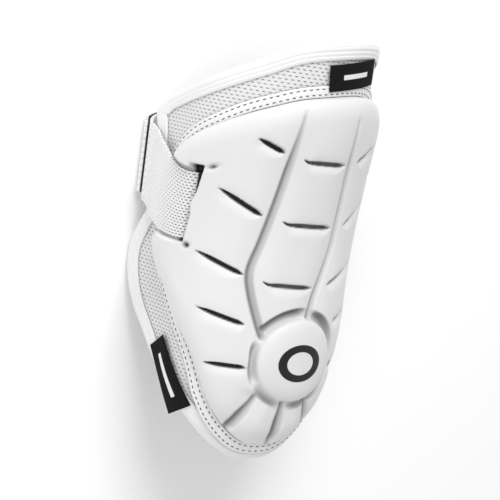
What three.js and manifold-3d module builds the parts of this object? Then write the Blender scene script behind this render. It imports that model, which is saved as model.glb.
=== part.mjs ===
// A baseball elbow guard, in millimetres, lying on its open side with the pad upward.
// X runs across the guard, Y along the arm from the elbow end to the wide rim, and Z up.
//
// Every piece is laid out on one half-pipe shell. A place on it is told by y, the distance along
// the arm, by turn, how far round it is from the front line in quarter turns, or by arc, the same
// in millimetres, both negative on the side that shows the strap, and by lift, the height off the
// face that lies on the arm.

import * as THREE from 'three';
import { mergeVertices } from 'three/addons/utils/BufferGeometryUtils.js';
import Module from 'manifold-3d';

// The shell
const GUARD_LENGTH = 242;        // elbow end to the front of the rim
const SHELL_WIDTH = 105;         // inside, across the widest section
const SHELL_RISE = 48;           // inside, from a section's centre to its front line
const SIDE_DEPTH = 38;           // how far straight sides may reach below the section's centre
const SIDE_SPLAY = 7;            // how far they flare outward at that depth

// The layers
const LINER_THICKNESS = 3;
const BINDING_WIDTH = 8;
const BINDING_THICKNESS = 1;
const TAPE_WIDTH = 6.5;
const TAPE_THICKNESS = 1;
const TAPE_ON_BINDING_TO = 38;   // up to here from the elbow end the tape lies over the binding
const TAPE_FALL = 14;            // length over which it then comes down to the liner
const PAD_THICKNESS = 9;
const PAD_EDGE_THICKNESS = 3.5;
const PAD_EDGE_ROUND = 12;       // width of the rounding down to the pad's edge
const GAP = 0.45;                // between pieces that lie on each other

// The moulded relief of the pad
const LONG_GROOVE_WIDTH = 9;
const LONG_GROOVE_DEPTH = 3;
const CROSS_GROOVE_WIDTH = 6;
const CROSS_GROOVE_DEPTH = 3.5;
const RADIAL_GROOVE_WIDTH = 10;
const RADIAL_GROOVE_DEPTH = 3.5;
const CAP_WIDTH = 40;
const CAP_LENGTH = 48;
const CAP_PLACE = 62.5;          // centre of the elbow cap, from the elbow end
const CAP_TURN = 0.082;          // and round the shell, in quarter turns
const CAP_RISE = 3.5;
const CAP_GROOVE_WIDTH = 6;
const CAP_GROOVE_DEPTH = 3.5;
const CUTTER_RISE = 4;           // how far the strap's cutters stand over the pad

// The strap, its slots and its hook patch
const STRAP_WIDTH = 38;
const STRAP_THICKNESS = 1.8;
const STRAP_PLACE = 142.5;       // middle of the strap where it leaves the slot
const STRAP_CLIMB = 29;          // how much nearer to the rim it lies behind the arm
const STRAP_CLEARANCE = 1.5;
const STRAP_ROOT = 4;            // how far past the slot's inner edge the strap starts
const STRAP_FALL_TURN = 1.246;   // where it begins to come down off the pad, in quarter turns
const STRAP_FALL = 11;           // length over which it comes down
const STRAP_LEVEL_PAST = 14;     // how far past its bend it has reached the middle of the back
const SLOT_WIDTH = 9;
const SLOT_TURN = 0.67;          // inner edge of the slot, in quarter turns
const SLOT_SLANT = 3;            // how much nearer to the front line its upper end lies
const RECESS_FLOOR = 3.5;        // pad left under the strap
const LAP_STEP = 20;             // side length over which the hook end steps outward
const HOOK_THICKNESS = 1.2;
const BEND_ROWS = 8;             // rows of facets round each bend
const TAB_BEND_ROWS = 3;         // rows of the bend that the outer end leaves bare
const BEND_WIDTH = 12;           // the strap's bend under each side
const BEND_HEIGHT = 6;

// The labels: their sizes, the place of their middle, and their tilt in degrees on the shell
const TOP_LABEL = { length: 34, width: 15, at: 0.934, turn: 0.18, tilt: 11 };
const SIDE_LABEL = { length: 45, width: 15, at: 0.177, turn: -0.93, tilt: -53 };
const LABEL_THICKNESS = 0.8;

// Sections along the arm. width, rise and centre are shares of SHELL_WIDTH, SHELL_RISE and
// SIDE_DEPTH; centre is the height of the section's centre over the surface it lies on.
const SECTIONS = [
  { at: 0.00, width: 0.70, rise: 0.64, centre: 0.89 },
  { at: 0.09, width: 0.80, rise: 0.70, centre: 1.05 },
  { at: 0.18, width: 0.88, rise: 0.74, centre: 1.08 },
  { at: 0.265, width: 0.91, rise: 0.78, centre: 1.055 },
  { at: 0.35, width: 0.95, rise: 0.82, centre: 0.98 },
  { at: 0.45, width: 0.98, rise: 0.87, centre: 0.88 },
  { at: 0.55, width: 1.00, rise: 0.92, centre: 0.84 },
  { at: 0.68, width: 1.00, rise: 0.96, centre: 0.905 },
  { at: 0.80, width: 0.99, rise: 0.99, centre: 1.01 },
  { at: 0.90, width: 0.98, rise: 1.00, centre: 1.07 },
  { at: 1.00, width: 0.94, rise: 0.99, centre: 1.165 },
];

// How far round each layer reaches, in quarter turns, against the share of its own length.
const LINER_REACH = [
  { at: 0.00, turn: 1.08 }, { at: 0.05, turn: 1.34 }, { at: 0.10, turn: 1.50 },
  { at: 0.20, turn: 1.68 }, { at: 0.30, turn: 1.81 }, { at: 0.40, turn: 1.89 },
  { at: 0.46, turn: 1.84 }, { at: 0.53, turn: 1.66 }, { at: 0.60, turn: 1.50 },
  { at: 0.70, turn: 1.47 }, { at: 0.84, turn: 1.49 }, { at: 0.93, turn: 1.60 },
  { at: 1.00, turn: 1.78 },
];
const PAD_REACH = [
  { at: 0.00, turn: 0.56 }, { at: 0.05, turn: 0.61 }, { at: 0.10, turn: 0.65 },
  { at: 0.20, turn: 0.72 }, { at: 0.30, turn: 0.79 }, { at: 0.40, turn: 0.90 },
  { at: 0.50, turn: 1.09 }, { at: 0.56, turn: 1.16 }, { at: 0.64, turn: 1.04 },
  { at: 0.74, turn: 1.00 }, { at: 0.90, turn: 1.03 }, { at: 1.00, turn: 1.00 },
];

// How far the rim and the pad's upper edge fall back from the front line to each side, as shares
// of GUARD_LENGTH; side is the share of the reach.
const RIM_DROPS = [
  { side: -1.00, liner: 0.215, pad: 0.200 }, { side: -0.93, liner: 0.182, pad: 0.163 },
  { side: -0.85, liner: 0.163, pad: 0.135 }, { side: -0.68, liner: 0.131, pad: 0.096 },
  { side: -0.50, liner: 0.092, pad: 0.060 }, { side: -0.35, liner: 0.058, pad: 0.037 },
  { side: -0.20, liner: 0.024, pad: 0.017 }, { side: 0.00, liner: 0.003, pad: 0.003 },
  { side: 0.30, liner: -0.006, pad: -0.006 }, { side: 0.50, liner: 0.012, pad: 0.010 },
  { side: 0.70, liner: 0.058, pad: 0.050 }, { side: 0.85, liner: 0.110, pad: 0.102 },
  { side: 0.93, liner: 0.138, pad: 0.130 }, { side: 1.00, liner: 0.178, pad: 0.172 },
];

// How far the lower edge climbs from the front line to each side, the same on both sides.
const TIP_CLIMBS = [
  { side: 0.00, liner: 0.000, pad: 0.003 }, { side: 0.15, liner: 0.004, pad: 0.005 },
  { side: 0.28, liner: 0.022, pad: 0.011 }, { side: 0.42, liner: 0.048, pad: 0.024 },
  { side: 0.58, liner: 0.082, pad: 0.045 }, { side: 0.72, liner: 0.112, pad: 0.067 },
  { side: 0.86, liner: 0.140, pad: 0.096 }, { side: 1.00, liner: 0.168, pad: 0.132 },
];
const LINER_PATCH = { name: 'liner', bottom: 0, top: 1, reach: LINER_REACH };
const PAD_PATCH = { name: 'pad', bottom: 0.037, top: 0.88, reach: PAD_REACH };
const RIM_FALLS_FROM = 0.42;     // share of a layer's length where the rim's drop begins
const TIP_CLIMBS_TO = 0.40;      // share where the lower edge's climb has levelled out

const LINER_GRID = { patch: LINER_PATCH, rows: rowShares(20, 1.1), columns: 28 };
const PAD_GRID = { patch: PAD_PATCH, rows: rowShares(20, 1.1), columns: 26 };

// The two long grooves, against the share of GUARD_LENGTH, in quarter turns.
const LONG_GROOVES = [
  { at: 0.855, left: -0.170, right: 0.205 }, { at: 0.720, left: -0.190, right: 0.245 },
  { at: 0.583, left: -0.230, right: 0.260 }, { at: 0.525, left: -0.260, right: 0.255 },
  { at: 0.455, left: -0.305, right: 0.210 }, { at: 0.410, left: -0.285, right: 0.170 },
  { at: 0.330, left: -0.210, right: 0.120 }, { at: 0.312, left: -0.187, right: 0.108 },
];

// The cross grooves, from their outer to their inner ends.
const CROSS_GROOVES = [
  { outerAt: 0.769, outerTurn: -0.41, innerAt: 0.743, innerTurn: -0.24 },
  { outerAt: 0.644, outerTurn: -0.57, innerAt: 0.592, innerTurn: -0.28 },
  { outerAt: 0.492, outerTurn: -0.65, innerAt: 0.451, innerTurn: -0.34 },
  { outerAt: 0.364, outerTurn: -0.63, innerAt: 0.337, innerTurn: -0.31 },
  { outerAt: 0.238, outerTurn: -0.57, innerAt: 0.237, innerTurn: -0.28 },
  { outerAt: 0.770, outerTurn: 0.50, innerAt: 0.735, innerTurn: 0.31 },
  { outerAt: 0.640, outerTurn: 0.60, innerAt: 0.581, innerTurn: 0.33 },
  { outerAt: 0.492, outerTurn: 0.64, innerAt: 0.436, innerTurn: 0.27 },
  { outerAt: 0.364, outerTurn: 0.64, innerAt: 0.345, innerTurn: 0.40 },
  { outerAt: 0.238, outerTurn: 0.60, innerAt: 0.240, innerTurn: 0.44 },
  { outerAt: 0.727, outerTurn: -0.13, innerAt: 0.726, innerTurn: 0.19 },
  { outerAt: 0.578, outerTurn: -0.17, innerAt: 0.575, innerTurn: 0.20 },
  { outerAt: 0.434, outerTurn: -0.23, innerAt: 0.430, innerTurn: 0.13 },
];

// The grooves that run from the elbow cap to the pad's lower edge.
const RADIAL_GROOVES = [
  { outerAt: 0.080, outerTurn: -0.36, innerAt: 0.160, innerTurn: -0.20 },
  { outerAt: 0.045, outerTurn: 0.05, innerAt: 0.150, innerTurn: 0.04 },
  { outerAt: 0.080, outerTurn: 0.38, innerAt: 0.160, innerTurn: 0.26 },
];

const QUARTER = Math.PI / 2;
const wasm = await Module();
wasm.setup();

// Reads a column of a table at a place, along a smooth curve through its rows.
function tableValue(table, place, column, at) {
  const last = table.length - 1;
  const x = THREE.MathUtils.clamp(at, table[0][place], table[last][place]);
  let i = 0;
  while (i < last - 1 && x > table[i + 1][place]) i += 1;
  const slope = (k) => (table[k + 1][column] - table[k][column])
    / (table[k + 1][place] - table[k][place]);
  const tangent = (k) => {
    if (k === 0) return slope(0);
    return k === last ? slope(last - 1) : (slope(k - 1) + slope(k)) / 2;
  };
  const span = table[i + 1][place] - table[i][place];
  const t = (x - table[i][place]) / span;
  return (1 + 2 * t) * (1 - t) ** 2 * table[i][column]
    + t * (1 - t) ** 2 * span * tangent(i)
    + t * t * (3 - 2 * t) * table[i + 1][column]
    + t * t * (t - 1) * span * tangent(i + 1);
}

// The section's half width, rise and centre height at y.
function sectionAt(y) {
  const at = y / GUARD_LENGTH;
  return {
    width: (tableValue(SECTIONS, 'at', 'width', at) * SHELL_WIDTH) / 2,
    rise: tableValue(SECTIONS, 'at', 'rise', at) * SHELL_RISE,
    centre: tableValue(SECTIONS, 'at', 'centre', at) * SIDE_DEPTH,
  };
}

// The length of a quarter of the section's arch at y.
function quarterArc(y) {
  const { width, rise } = sectionAt(y);
  return QUARTER * Math.sqrt((width ** 2 + rise ** 2) / 2);
}

function arcOf(y, turn) {
  const size = Math.abs(turn);
  const arc = size <= 1 ? size * quarterArc(y) : quarterArc(y) + (size - 1) * SIDE_DEPTH;
  return Math.sign(turn) * arc;
}

function turnOf(y, arc) {
  const quarter = quarterArc(y);
  const size = Math.abs(arc);
  const turn = size <= quarter ? size / quarter : 1 + (size - quarter) / SIDE_DEPTH;
  return Math.sign(arc) * turn;
}

// The point of the shell at a turn and a lift.
function shellPoint(y, turn, lift) {
  const { width, rise, centre } = sectionAt(y);
  const angle = Math.min(Math.abs(turn), 1) * QUARTER;
  const below = Math.max(Math.abs(turn) - 1, 0);
  const normal = below > 0
    ? new THREE.Vector2(1, (2 * SIDE_SPLAY * below) / SIDE_DEPTH)
    : new THREE.Vector2(Math.sin(angle) / width, Math.cos(angle) / rise);
  normal.normalize().multiplyScalar(lift);
  const x = width * Math.sin(angle) + SIDE_SPLAY * below ** 2 + normal.x;
  const z = centre + rise * Math.cos(angle) - SIDE_DEPTH * below + normal.y;
  return new THREE.Vector3(turn < 0 ? -x : x, y, z);
}

function shellAt(y, arc, lift) {
  return shellPoint(y, turnOf(y, arc), lift);
}

// Maps side (-1 to 1) and along (0 to 1) of a layer's patch to y and arc on the shell.
function patchPlace(patch, side, along) {
  const fall = THREE.MathUtils.smoothstep(along, RIM_FALLS_FROM, 1);
  const rise = 1 - THREE.MathUtils.smoothstep(along, 0, TIP_CLIMBS_TO);
  const drop = tableValue(RIM_DROPS, 'side', patch.name, side) * fall;
  const climb = tableValue(TIP_CLIMBS, 'side', patch.name, Math.abs(side)) * rise;
  const level = THREE.MathUtils.lerp(patch.bottom, patch.top, along);
  const y = GUARD_LENGTH * (level - drop + climb);
  const reach = tableValue(patch.reach, 'at', 'turn', along);
  const edge = GUARD_LENGTH * (level + tableValue(TIP_CLIMBS, 'side', patch.name, 1) * rise);
  return { y, arc: side * arcOf(edge, reach) };
}

// Closes the end of a loft by joining the two halves of its ring.
function closeEnd(index, start, count, inward) {
  for (let j = 0; j < count / 2 - 1; j += 1) {
    const a = start + j;
    const b = start + j + 1;
    const c = start + count - 2 - j;
    const d = start + count - 1 - j;
    if (inward) index.push(a, c, b, a, d, c);
    else index.push(a, b, c, a, c, d);
  }
}

// Joins rings of an even, equal count of points into a closed solid. The two halves of a ring are
// split along matching diagonals, so that sheets laid on each other nest.
function loft(rings, closed = false) {
  const count = rings[0].length;
  const index = [];
  for (let i = 0; i < rings.length - (closed ? 0 : 1); i += 1) {
    const here = i * count;
    const next = ((i + 1) % rings.length) * count;
    for (let j = 0; j < count; j += 1) {
      const k = (j + 1) % count;
      if (j < count / 2) index.push(here + j, here + k, next + k, here + j, next + k, next + j);
      else index.push(here + j, here + k, next + j, here + k, next + k, next + j);
    }
  }
  if (!closed) {
    closeEnd(index, 0, count, true);
    closeEnd(index, (rings.length - 1) * count, count, false);
  }
  const geometry = new THREE.BufferGeometry();
  geometry.setAttribute('position', new THREE.Float32BufferAttribute(
    rings.flat().flatMap((p) => [p.x, p.y, p.z]), 3));
  geometry.setIndex(signedVolume(rings.flat(), index) < 0 ? index.reverse() : index);
  return geometry;
}

function signedVolume(points, index) {
  const normal = new THREE.Vector3();
  let volume = 0;
  for (let i = 0; i < index.length; i += 3) {
    normal.crossVectors(points[index[i + 1]], points[index[i + 2]]);
    volume += normal.dot(points[index[i]]) / 6;
  }
  return volume;
}

function toManifold(geometry) {
  return new wasm.Manifold(new wasm.Mesh({
    numProp: 3,
    vertProperties: new Float32Array(geometry.attributes.position.array),
    triVerts: new Uint32Array(geometry.index.array),
  }));
}

function fromManifold(solid) {
  const mesh = solid.getMesh();
  const geometry = new THREE.BufferGeometry();
  geometry.setAttribute('position', new THREE.Float32BufferAttribute(mesh.vertProperties, 3));
  geometry.setIndex([...mesh.triVerts]);
  return mergeVertices(geometry, 1e-4);
}

// A sheet over a patch, between two lifts that may change from place to place.
function patchSheet({ patch, rows, columns }, lowLift, highLift) {
  const sides = Array.from({ length: columns + 1 }, (_, j) => (2 * j) / columns - 1);
  const ringAt = (along) => {
    const places = sides.map((side) => patchPlace(patch, side, along));
    const over = places.map(({ y, arc }) => shellAt(y, arc, highLift(y, arc)));
    const under = places.map(({ y, arc }) => shellAt(y, arc, lowLift(y, arc)));
    return [...over, ...under.reverse()];
  };
  return loft(rows.map(ringAt));
}

// Shares from 0 to 1, closer together at the start, where a patch is narrow.
function rowShares(count, bias) {
  return Array.from({ length: count + 1 }, (_, i) => (i / count) ** bias);
}

// The outline of a patch as a counterclockwise loop of places, at its own rows and columns.
function patchOutline({ patch, rows, columns }) {
  const spread = Array.from({ length: columns }, (_, i) => (2 * i) / columns - 1);
  const places = [
    ...spread.map((side) => patchPlace(patch, side, 0)),
    ...rows.slice(0, -1).map((along) => patchPlace(patch, 1, along)),
    ...spread.map((side) => patchPlace(patch, -side, 1)),
    ...rows.slice(1).reverse().map((along) => patchPlace(patch, -1, along)),
  ];
  return places.map(({ y, arc }) => new THREE.Vector2(arc, y));
}

// Moves each point of a counterclockwise loop outward by a distance.
function offsetLoop(loop, distance) {
  return loop.map((p, i) => {
    const before = loop[(i + loop.length - 1) % loop.length];
    const after = loop[(i + 1) % loop.length];
    const away = (a, b) => new THREE.Vector2(b.y - a.y, a.x - b.x).normalize();
    const first = away(before, p);
    const bisector = first.clone().add(away(p, after)).normalize();
    return p.clone().addScaledVector(bisector, distance / Math.max(0.7, bisector.dot(first)));
  });
}

// A closed band round a loop, whose section is a list of outward distances and lifts, and which
// may lie higher at some places.
function loopBand(loop, section, raise = () => 0) {
  const lines = section.map(({ out }) => offsetLoop(loop, out));
  const rings = loop.map((place, i) => section.map(({ lift }, j) => {
    const { x: arc, y } = lines[j][i];
    return shellAt(y, arc, lift + raise(place.y));
  }));
  return loft(rings, true);
}

const PAD_BASE = LINER_THICKNESS + GAP;

const PAD_OUTLINE = patchOutline(PAD_GRID);

// The pad's thickness at a place: full inside, rounded down to its edge.
function padThickness(y, arc) {
  const place = new THREE.Vector2(arc, y);
  const inside = Math.min(PAD_EDGE_ROUND, distanceToLoop(place, PAD_OUTLINE));
  const round = Math.sqrt(1 - (1 - inside / PAD_EDGE_ROUND) ** 2);
  return THREE.MathUtils.lerp(PAD_EDGE_THICKNESS, PAD_THICKNESS, round);
}

function distanceToLoop(place, loop) {
  const nearest = new THREE.Vector3();
  const at = new THREE.Vector3(place.x, place.y, 0);
  const segment = new THREE.Line3();
  return Math.min(...loop.map((p, i) => {
    const q = loop[(i + 1) % loop.length];
    segment.start.set(p.x, p.y, 0);
    segment.end.set(q.x, q.y, 0);
    return segment.closestPointToPoint(at, true, nearest).distanceTo(at);
  }));
}

// A cutter along a path of places, a V with its sides rising clear of the pad.
function grooveCutter(path, width, depth, taper) {
  const curve = new THREE.CatmullRomCurve3(path.map(({ at, turn }) => {
    const y = at * GUARD_LENGTH;
    return new THREE.Vector3(arcOf(y, turn), y, 0);
  }));
  const steps = Math.max(6, Math.round(curve.getLength() / 11));
  const rings = Array.from({ length: steps + 1 }, (_, i) => {
    const t = i / steps;
    const { x: arc, y } = curve.getPointAt(t);
    const along = curve.getTangentAt(t);
    const fade = taper(t);
    const top = PAD_BASE + padThickness(y, arc);
    const corner = (share, lift) => shellAt(
      y + along.x * width * fade * share, arc - along.y * width * fade * share, lift);
    return [corner(0.62, top + 0.9), corner(-0.62, top + 0.9),
      corner(-0.07, top - depth * fade), corner(0.07, top - depth * fade)];
  });
  return loft(rings);
}

const leaf = (t) => 0.12 + 0.88 * Math.sin(Math.PI * Math.min(1, 0.08 + 0.84 * t)) ** 0.7;
const fadeIn = (t) => Math.min(1, 0.3 + 3 * t);

// An oval of places round the elbow cap, at a share of its size, a distance farther out, and a
// lift off the pad's base.
function capRing(share, out, lift) {
  const sides = 28;
  const middle = arcOf(CAP_PLACE, CAP_TURN);
  return Array.from({ length: sides }, (_, i) => {
    const angle = (i / sides) * 2 * Math.PI;
    const along = ((share * CAP_LENGTH) / 2 + out) * Math.sin(angle);
    const across = ((share * CAP_WIDTH) / 2 + out) * Math.cos(angle);
    return shellAt(CAP_PLACE + along, middle + across, PAD_BASE + lift);
  });
}

// The groove's cutter, whose inner side and top run 1 mm past the cap's foot and the pad.
function capGroove() {
  const floor = PAD_THICKNESS - CAP_GROOVE_DEPTH;
  const over = PAD_THICKNESS + 1;
  const loops = [capRing(1, -1, over), capRing(1, CAP_GROOVE_WIDTH + 1, over),
    capRing(1, CAP_GROOVE_WIDTH / 2 - 1, floor), capRing(1, -1, floor)];
  return loft(loops[0].map((_, i) => loops.map((ring) => ring[i])), true);
}

// The cap itself, rooted 1 mm below the groove's floor.
function capBoss() {
  const floor = PAD_THICKNESS - CAP_GROOVE_DEPTH - 1;
  const crown = PAD_THICKNESS + CAP_RISE;
  return loft([
    capRing(1, 0, floor), capRing(1, 0, PAD_THICKNESS + CAP_RISE * 0.1),
    capRing(0.93, 0, PAD_THICKNESS + CAP_RISE * 0.6),
    capRing(0.78, 0, crown - CAP_RISE * 0.1), capRing(0.4, 0, crown),
  ]);
}

// How far the strap's inner face stands off the shell on its way from the slot to the side.
const STRAP_ON_PAD = PAD_BASE + RECESS_FLOOR + GAP;
const STRAP_ON_SIDE = PAD_BASE + Math.max(TAPE_THICKNESS, BINDING_THICKNESS) + GAP;
const STACK = 2 * STRAP_THICKNESS + HOOK_THICKNESS + 2 * GAP;

// The level that the wings' bound edges and the strap's back share.
const COVER = GAP + BINDING_THICKNESS;
const GROUND = Math.min(...offsetLoop(patchOutline(LINER_GRID), COVER)
  .map(({ x: arc, y }) => shellAt(y, arc, -COVER).z));
const STRAP_BACK = GROUND + STACK;
const SLOT_ARC = arcOf(STRAP_PLACE, SLOT_TURN);
const LAP = lapLengths(STRAP_PLACE);

// The stretches of the strap's way round at y: down to the bend, the bend, and to the middle.
function lapLengths(y) {
  const { width, centre } = sectionAt(y);
  const drop = centre - STRAP_BACK - BEND_HEIGHT;
  const side = quarterArc(y) + drop;
  const outside = width + SIDE_SPLAY * (drop / SIDE_DEPTH) ** 2 + STRAP_ON_SIDE;
  const bend = (BEND_WIDTH + BEND_HEIGHT) * 0.85;
  return { side, drop, outside, bend, total: side + bend + outside - BEND_WIDTH };
}

// The lift of the strap's inner face on the shell.
function strapLift(arc) {
  const rise = THREE.MathUtils.smoothstep(arc, SLOT_ARC + STRAP_ROOT / 2, SLOT_ARC + SLOT_WIDTH);
  const start = THREE.MathUtils.lerp(PAD_BASE, STRAP_ON_PAD, rise);
  const edge = arcOf(STRAP_PLACE, STRAP_FALL_TURN);
  const fall = THREE.MathUtils.smoothstep(arc, edge, edge + STRAP_FALL);
  return THREE.MathUtils.lerp(start, STRAP_ON_SIDE, fall);
}

// A point of the strap's way round at y, at a distance run at STRAP_PLACE, and a lift outward.
function lapPoint(y, distance, lift) {
  const { side, drop, outside } = lapLengths(y);
  if (distance <= LAP.side) {
    const rest = (distance - SLOT_ARC) / (LAP.side - SLOT_ARC);
    const arc = distance + (side - LAP.side) * Math.max(0, rest);
    return shellAt(y, arc, strapLift(distance) + lift);
  }
  const lean = (2 * SIDE_SPLAY * drop) / SIDE_DEPTH ** 2;
  const curve = new THREE.CubicBezierCurve(
    new THREE.Vector2(outside, STRAP_BACK + BEND_HEIGHT),
    new THREE.Vector2(outside - lean * BEND_HEIGHT * 0.55, STRAP_BACK + BEND_HEIGHT * 0.45),
    new THREE.Vector2(outside - BEND_WIDTH * 0.4, STRAP_BACK),
    new THREE.Vector2(outside - BEND_WIDTH, STRAP_BACK),
  );
  const t = Math.min(1, (distance - LAP.side) / LAP.bend);
  const point = curve.getPoint(t);
  const tangent = curve.getTangent(t);
  const past = Math.max(0, distance - LAP.side - LAP.bend) / (LAP.total - LAP.side - LAP.bend);
  const back = past * (outside - BEND_WIDTH);
  return new THREE.Vector3(
    point.x - back - tangent.y * lift, y, point.y + tangent.x * lift);
}

// The y of the strap's middle at a distance from the front line.
function strapMiddle(distance) {
  const start = SLOT_ARC + SLOT_WIDTH;
  const end = LAP.side + LAP.bend + STRAP_LEVEL_PAST;
  return STRAP_PLACE + STRAP_CLIMB * THREE.MathUtils.smoothstep(distance, start, end);
}

// The distances at which every layer of the strap has a row, so that the layers nest.
function strapStations() {
  const spread = (from, to, count) => Array.from({ length: count },
    (_, i) => THREE.MathUtils.lerp(from, to, i / count));
  const start = SLOT_ARC + SLOT_WIDTH;
  const half = [...spread(start, LAP.side, 6), ...spread(LAP.side, LAP.side + LAP.bend, BEND_ROWS),
    ...spread(LAP.side + LAP.bend, LAP.total, 5)];
  return [SLOT_ARC + STRAP_ROOT, SLOT_ARC + (STRAP_ROOT + SLOT_WIDTH) / 2, ...half, LAP.total,
    ...half.map((distance) => 2 * LAP.total - distance).reverse()];
}

// A stretch of strap between two rows, which lie along the arm.
function strapBand(first, last, low, high, width = STRAP_WIDTH) {
  const across = 3;
  const shifts = Array.from({ length: across + 1 }, (_, j) => width * (j / across - 0.5));
  const rings = strapStations().slice(first, last + 1).map((distance) => {
    const near = Math.min(distance, 2 * LAP.total - distance);
    const slope = strapMiddle(near + 0.5) - strapMiddle(near - 0.5);
    const place = (shift, lift) => {
      const point = lapPoint(strapMiddle(near) + shift * Math.hypot(1, slope), near, lift);
      return distance > LAP.total ? point.setX(-point.x) : point;
    };
    const over = shifts.map((shift) => place(shift, high(distance)));
    const under = shifts.map((shift) => place(shift, low(distance)));
    return [...over, ...under.reverse()];
  });
  return loft(rings);
}

function mirrored(geometry) {
  const flipped = geometry.clone();
  flipped.applyMatrix4(new THREE.Matrix4().makeScale(-1, 1, 1));
  flipped.setIndex([...flipped.index.array].reverse());
  return flipped;
}

// The channel that the pad leaves for the strap, and the slot that it comes through.
function strapChannel() {
  const floor = PAD_BASE + RECESS_FLOOR;
  const over = PAD_BASE + PAD_THICKNESS + CUTTER_RISE;
  const width = STRAP_WIDTH + 2 * STRAP_CLEARANCE;
  const level = (lift) => (distance) => lift - strapLift(distance);
  return strapBand(1, 7, level(floor), level(over), width);
}

// The slot is longer than the strap is wide, by more at its upper end.
function slotCutter() {
  const half = STRAP_WIDTH / 2 + STRAP_CLEARANCE;
  const rings = [0, 0.5, 1].map((t) => {
    const y = STRAP_PLACE + THREE.MathUtils.lerp(-half, half + 2 * STRAP_CLEARANCE, t);
    const inner = SLOT_ARC + THREE.MathUtils.lerp(SLOT_SLANT, 0, t);
    const outer = SLOT_ARC + SLOT_WIDTH;
    const low = PAD_BASE - 1;
    const high = PAD_BASE + PAD_THICKNESS + CUTTER_RISE;
    return [shellAt(y, inner, high), shellAt(y, outer, high),
      shellAt(y, outer, low), shellAt(y, inner, low)];
  });
  return loft(rings);
}

function linerSheet() {
  return patchSheet(LINER_GRID, () => 0, () => LINER_THICKNESS);
}

function linerBinding() {
  const top = LINER_THICKNESS;
  return loopBand(patchOutline(LINER_GRID), [
    { out: -BINDING_WIDTH, lift: top + GAP }, { out: GAP, lift: top + GAP },
    { out: GAP, lift: -GAP }, { out: -BINDING_WIDTH, lift: -GAP },
    { out: -BINDING_WIDTH, lift: -COVER }, { out: COVER, lift: -COVER },
    { out: COVER, lift: top + COVER }, { out: -BINDING_WIDTH, lift: top + COVER },
  ]);
}

function edgeTape() {
  const low = LINER_THICKNESS + GAP;
  const high = low + TAPE_THICKNESS;
  const onBinding = (y) => (BINDING_THICKNESS + GAP)
    * (1 - THREE.MathUtils.smoothstep(y, TAPE_ON_BINDING_TO, TAPE_ON_BINDING_TO + TAPE_FALL));
  return loopBand(patchOutline(PAD_GRID), [
    { out: GAP, lift: high }, { out: GAP + TAPE_WIDTH, lift: high },
    { out: GAP + TAPE_WIDTH, lift: low }, { out: GAP, lift: low },
  ], onBinding);
}

function mouldedPad() {
  const base = patchSheet(PAD_GRID, () => PAD_BASE,
    (y, arc) => PAD_BASE + padThickness(y, arc));
  const line = (side) => LONG_GROOVES.map((row) => ({ at: row.at, turn: row[side] }));
  const straight = ({ outerAt, outerTurn, innerAt, innerTurn }) => [
    { at: outerAt, turn: outerTurn },
    { at: (outerAt + innerAt) / 2, turn: (outerTurn + innerTurn) / 2 },
    { at: innerAt, turn: innerTurn }];
  const cutters = [
    ...['left', 'right'].map((side) => grooveCutter(
      line(side), LONG_GROOVE_WIDTH, LONG_GROOVE_DEPTH, fadeIn)),
    ...CROSS_GROOVES.map((row) => grooveCutter(
      straight(row), CROSS_GROOVE_WIDTH, CROSS_GROOVE_DEPTH, leaf)),
    ...RADIAL_GROOVES.map((row) => grooveCutter(
      straight(row), RADIAL_GROOVE_WIDTH, RADIAL_GROOVE_DEPTH, fadeIn)),
    capGroove(), strapChannel(), mirrored(strapChannel()), slotCutter(), mirrored(slotCutter()),
  ];
  const carved = cutters.reduce((solid, cutter) => solid.subtract(toManifold(cutter)),
    toManifold(base));
  return fromManifold(carved.add(toManifold(capBoss())));
}

// Rows of the strap: where the bend begins, the middle of the back, and the outer end.
const BEND_ROW = 8;
const MIDDLE_ROW = BEND_ROW + BEND_ROWS + 5;
const TAB_ROW = BEND_ROW + TAB_BEND_ROWS;

// The loop end leaves the slot of the shown side and passes the middle of the back.
function loopStrap() {
  return mirrored(strapBand(0, MIDDLE_ROW + 2, () => 0, () => STRAP_THICKNESS));
}

// The hook end leaves the other slot and laps over the loop end from outside.
function hookStrap() {
  const step = (distance) => (STACK - STRAP_THICKNESS)
    * THREE.MathUtils.smoothstep(distance, LAP.side - LAP_STEP, LAP.side + LAP.bend);
  return strapBand(0, 2 * MIDDLE_ROW - TAB_ROW, step,
    (distance) => step(distance) + STRAP_THICKNESS);
}

function hookPatch() {
  const low = STRAP_THICKNESS + GAP;
  return mirrored(strapBand(TAB_ROW, MIDDLE_ROW - 1, () => low, () => low + HOOK_THICKNESS));
}

// A label on the liner, over the bound or taped edge that it reaches.
function labelSheet({ length, width, at, turn, tilt }) {
  const middle = { y: at * GUARD_LENGTH, arc: arcOf(at * GUARD_LENGTH, turn) };
  const low = STRAP_ON_SIDE;
  const cosine = Math.cos(THREE.MathUtils.degToRad(tilt));
  const sine = Math.sin(THREE.MathUtils.degToRad(tilt));
  const shares = (count) => Array.from({ length: count + 1 }, (_, i) => i / count - 0.5);
  const point = (u, v, lift) => shellAt(
    middle.y + u * sine + v * cosine, middle.arc + u * cosine - v * sine, lift);
  const rings = shares(8).map((along) => {
    const across = shares(3);
    const over = across.map((v) => point(along * length, v * width, low + LABEL_THICKNESS));
    const under = across.map((v) => point(along * length, v * width, low));
    return [...over, ...under.reverse()];
  });
  return loft(rings);
}

// Places a mesh of a piece with its own finish.
function piece(name, geometry, colour, roughness) {
  const material = new THREE.MeshStandardMaterial({ color: colour, roughness, metalness: 0 });
  const flat = geometry.toNonIndexed();
  flat.computeVertexNormals();
  const mesh = new THREE.Mesh(flat, material);
  mesh.name = name;
  return mesh;
}

const WHITE = 0xeeeeec;
const MESH_GREY = 0xd9dadb;
const BLACK = 0x151517;

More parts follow.
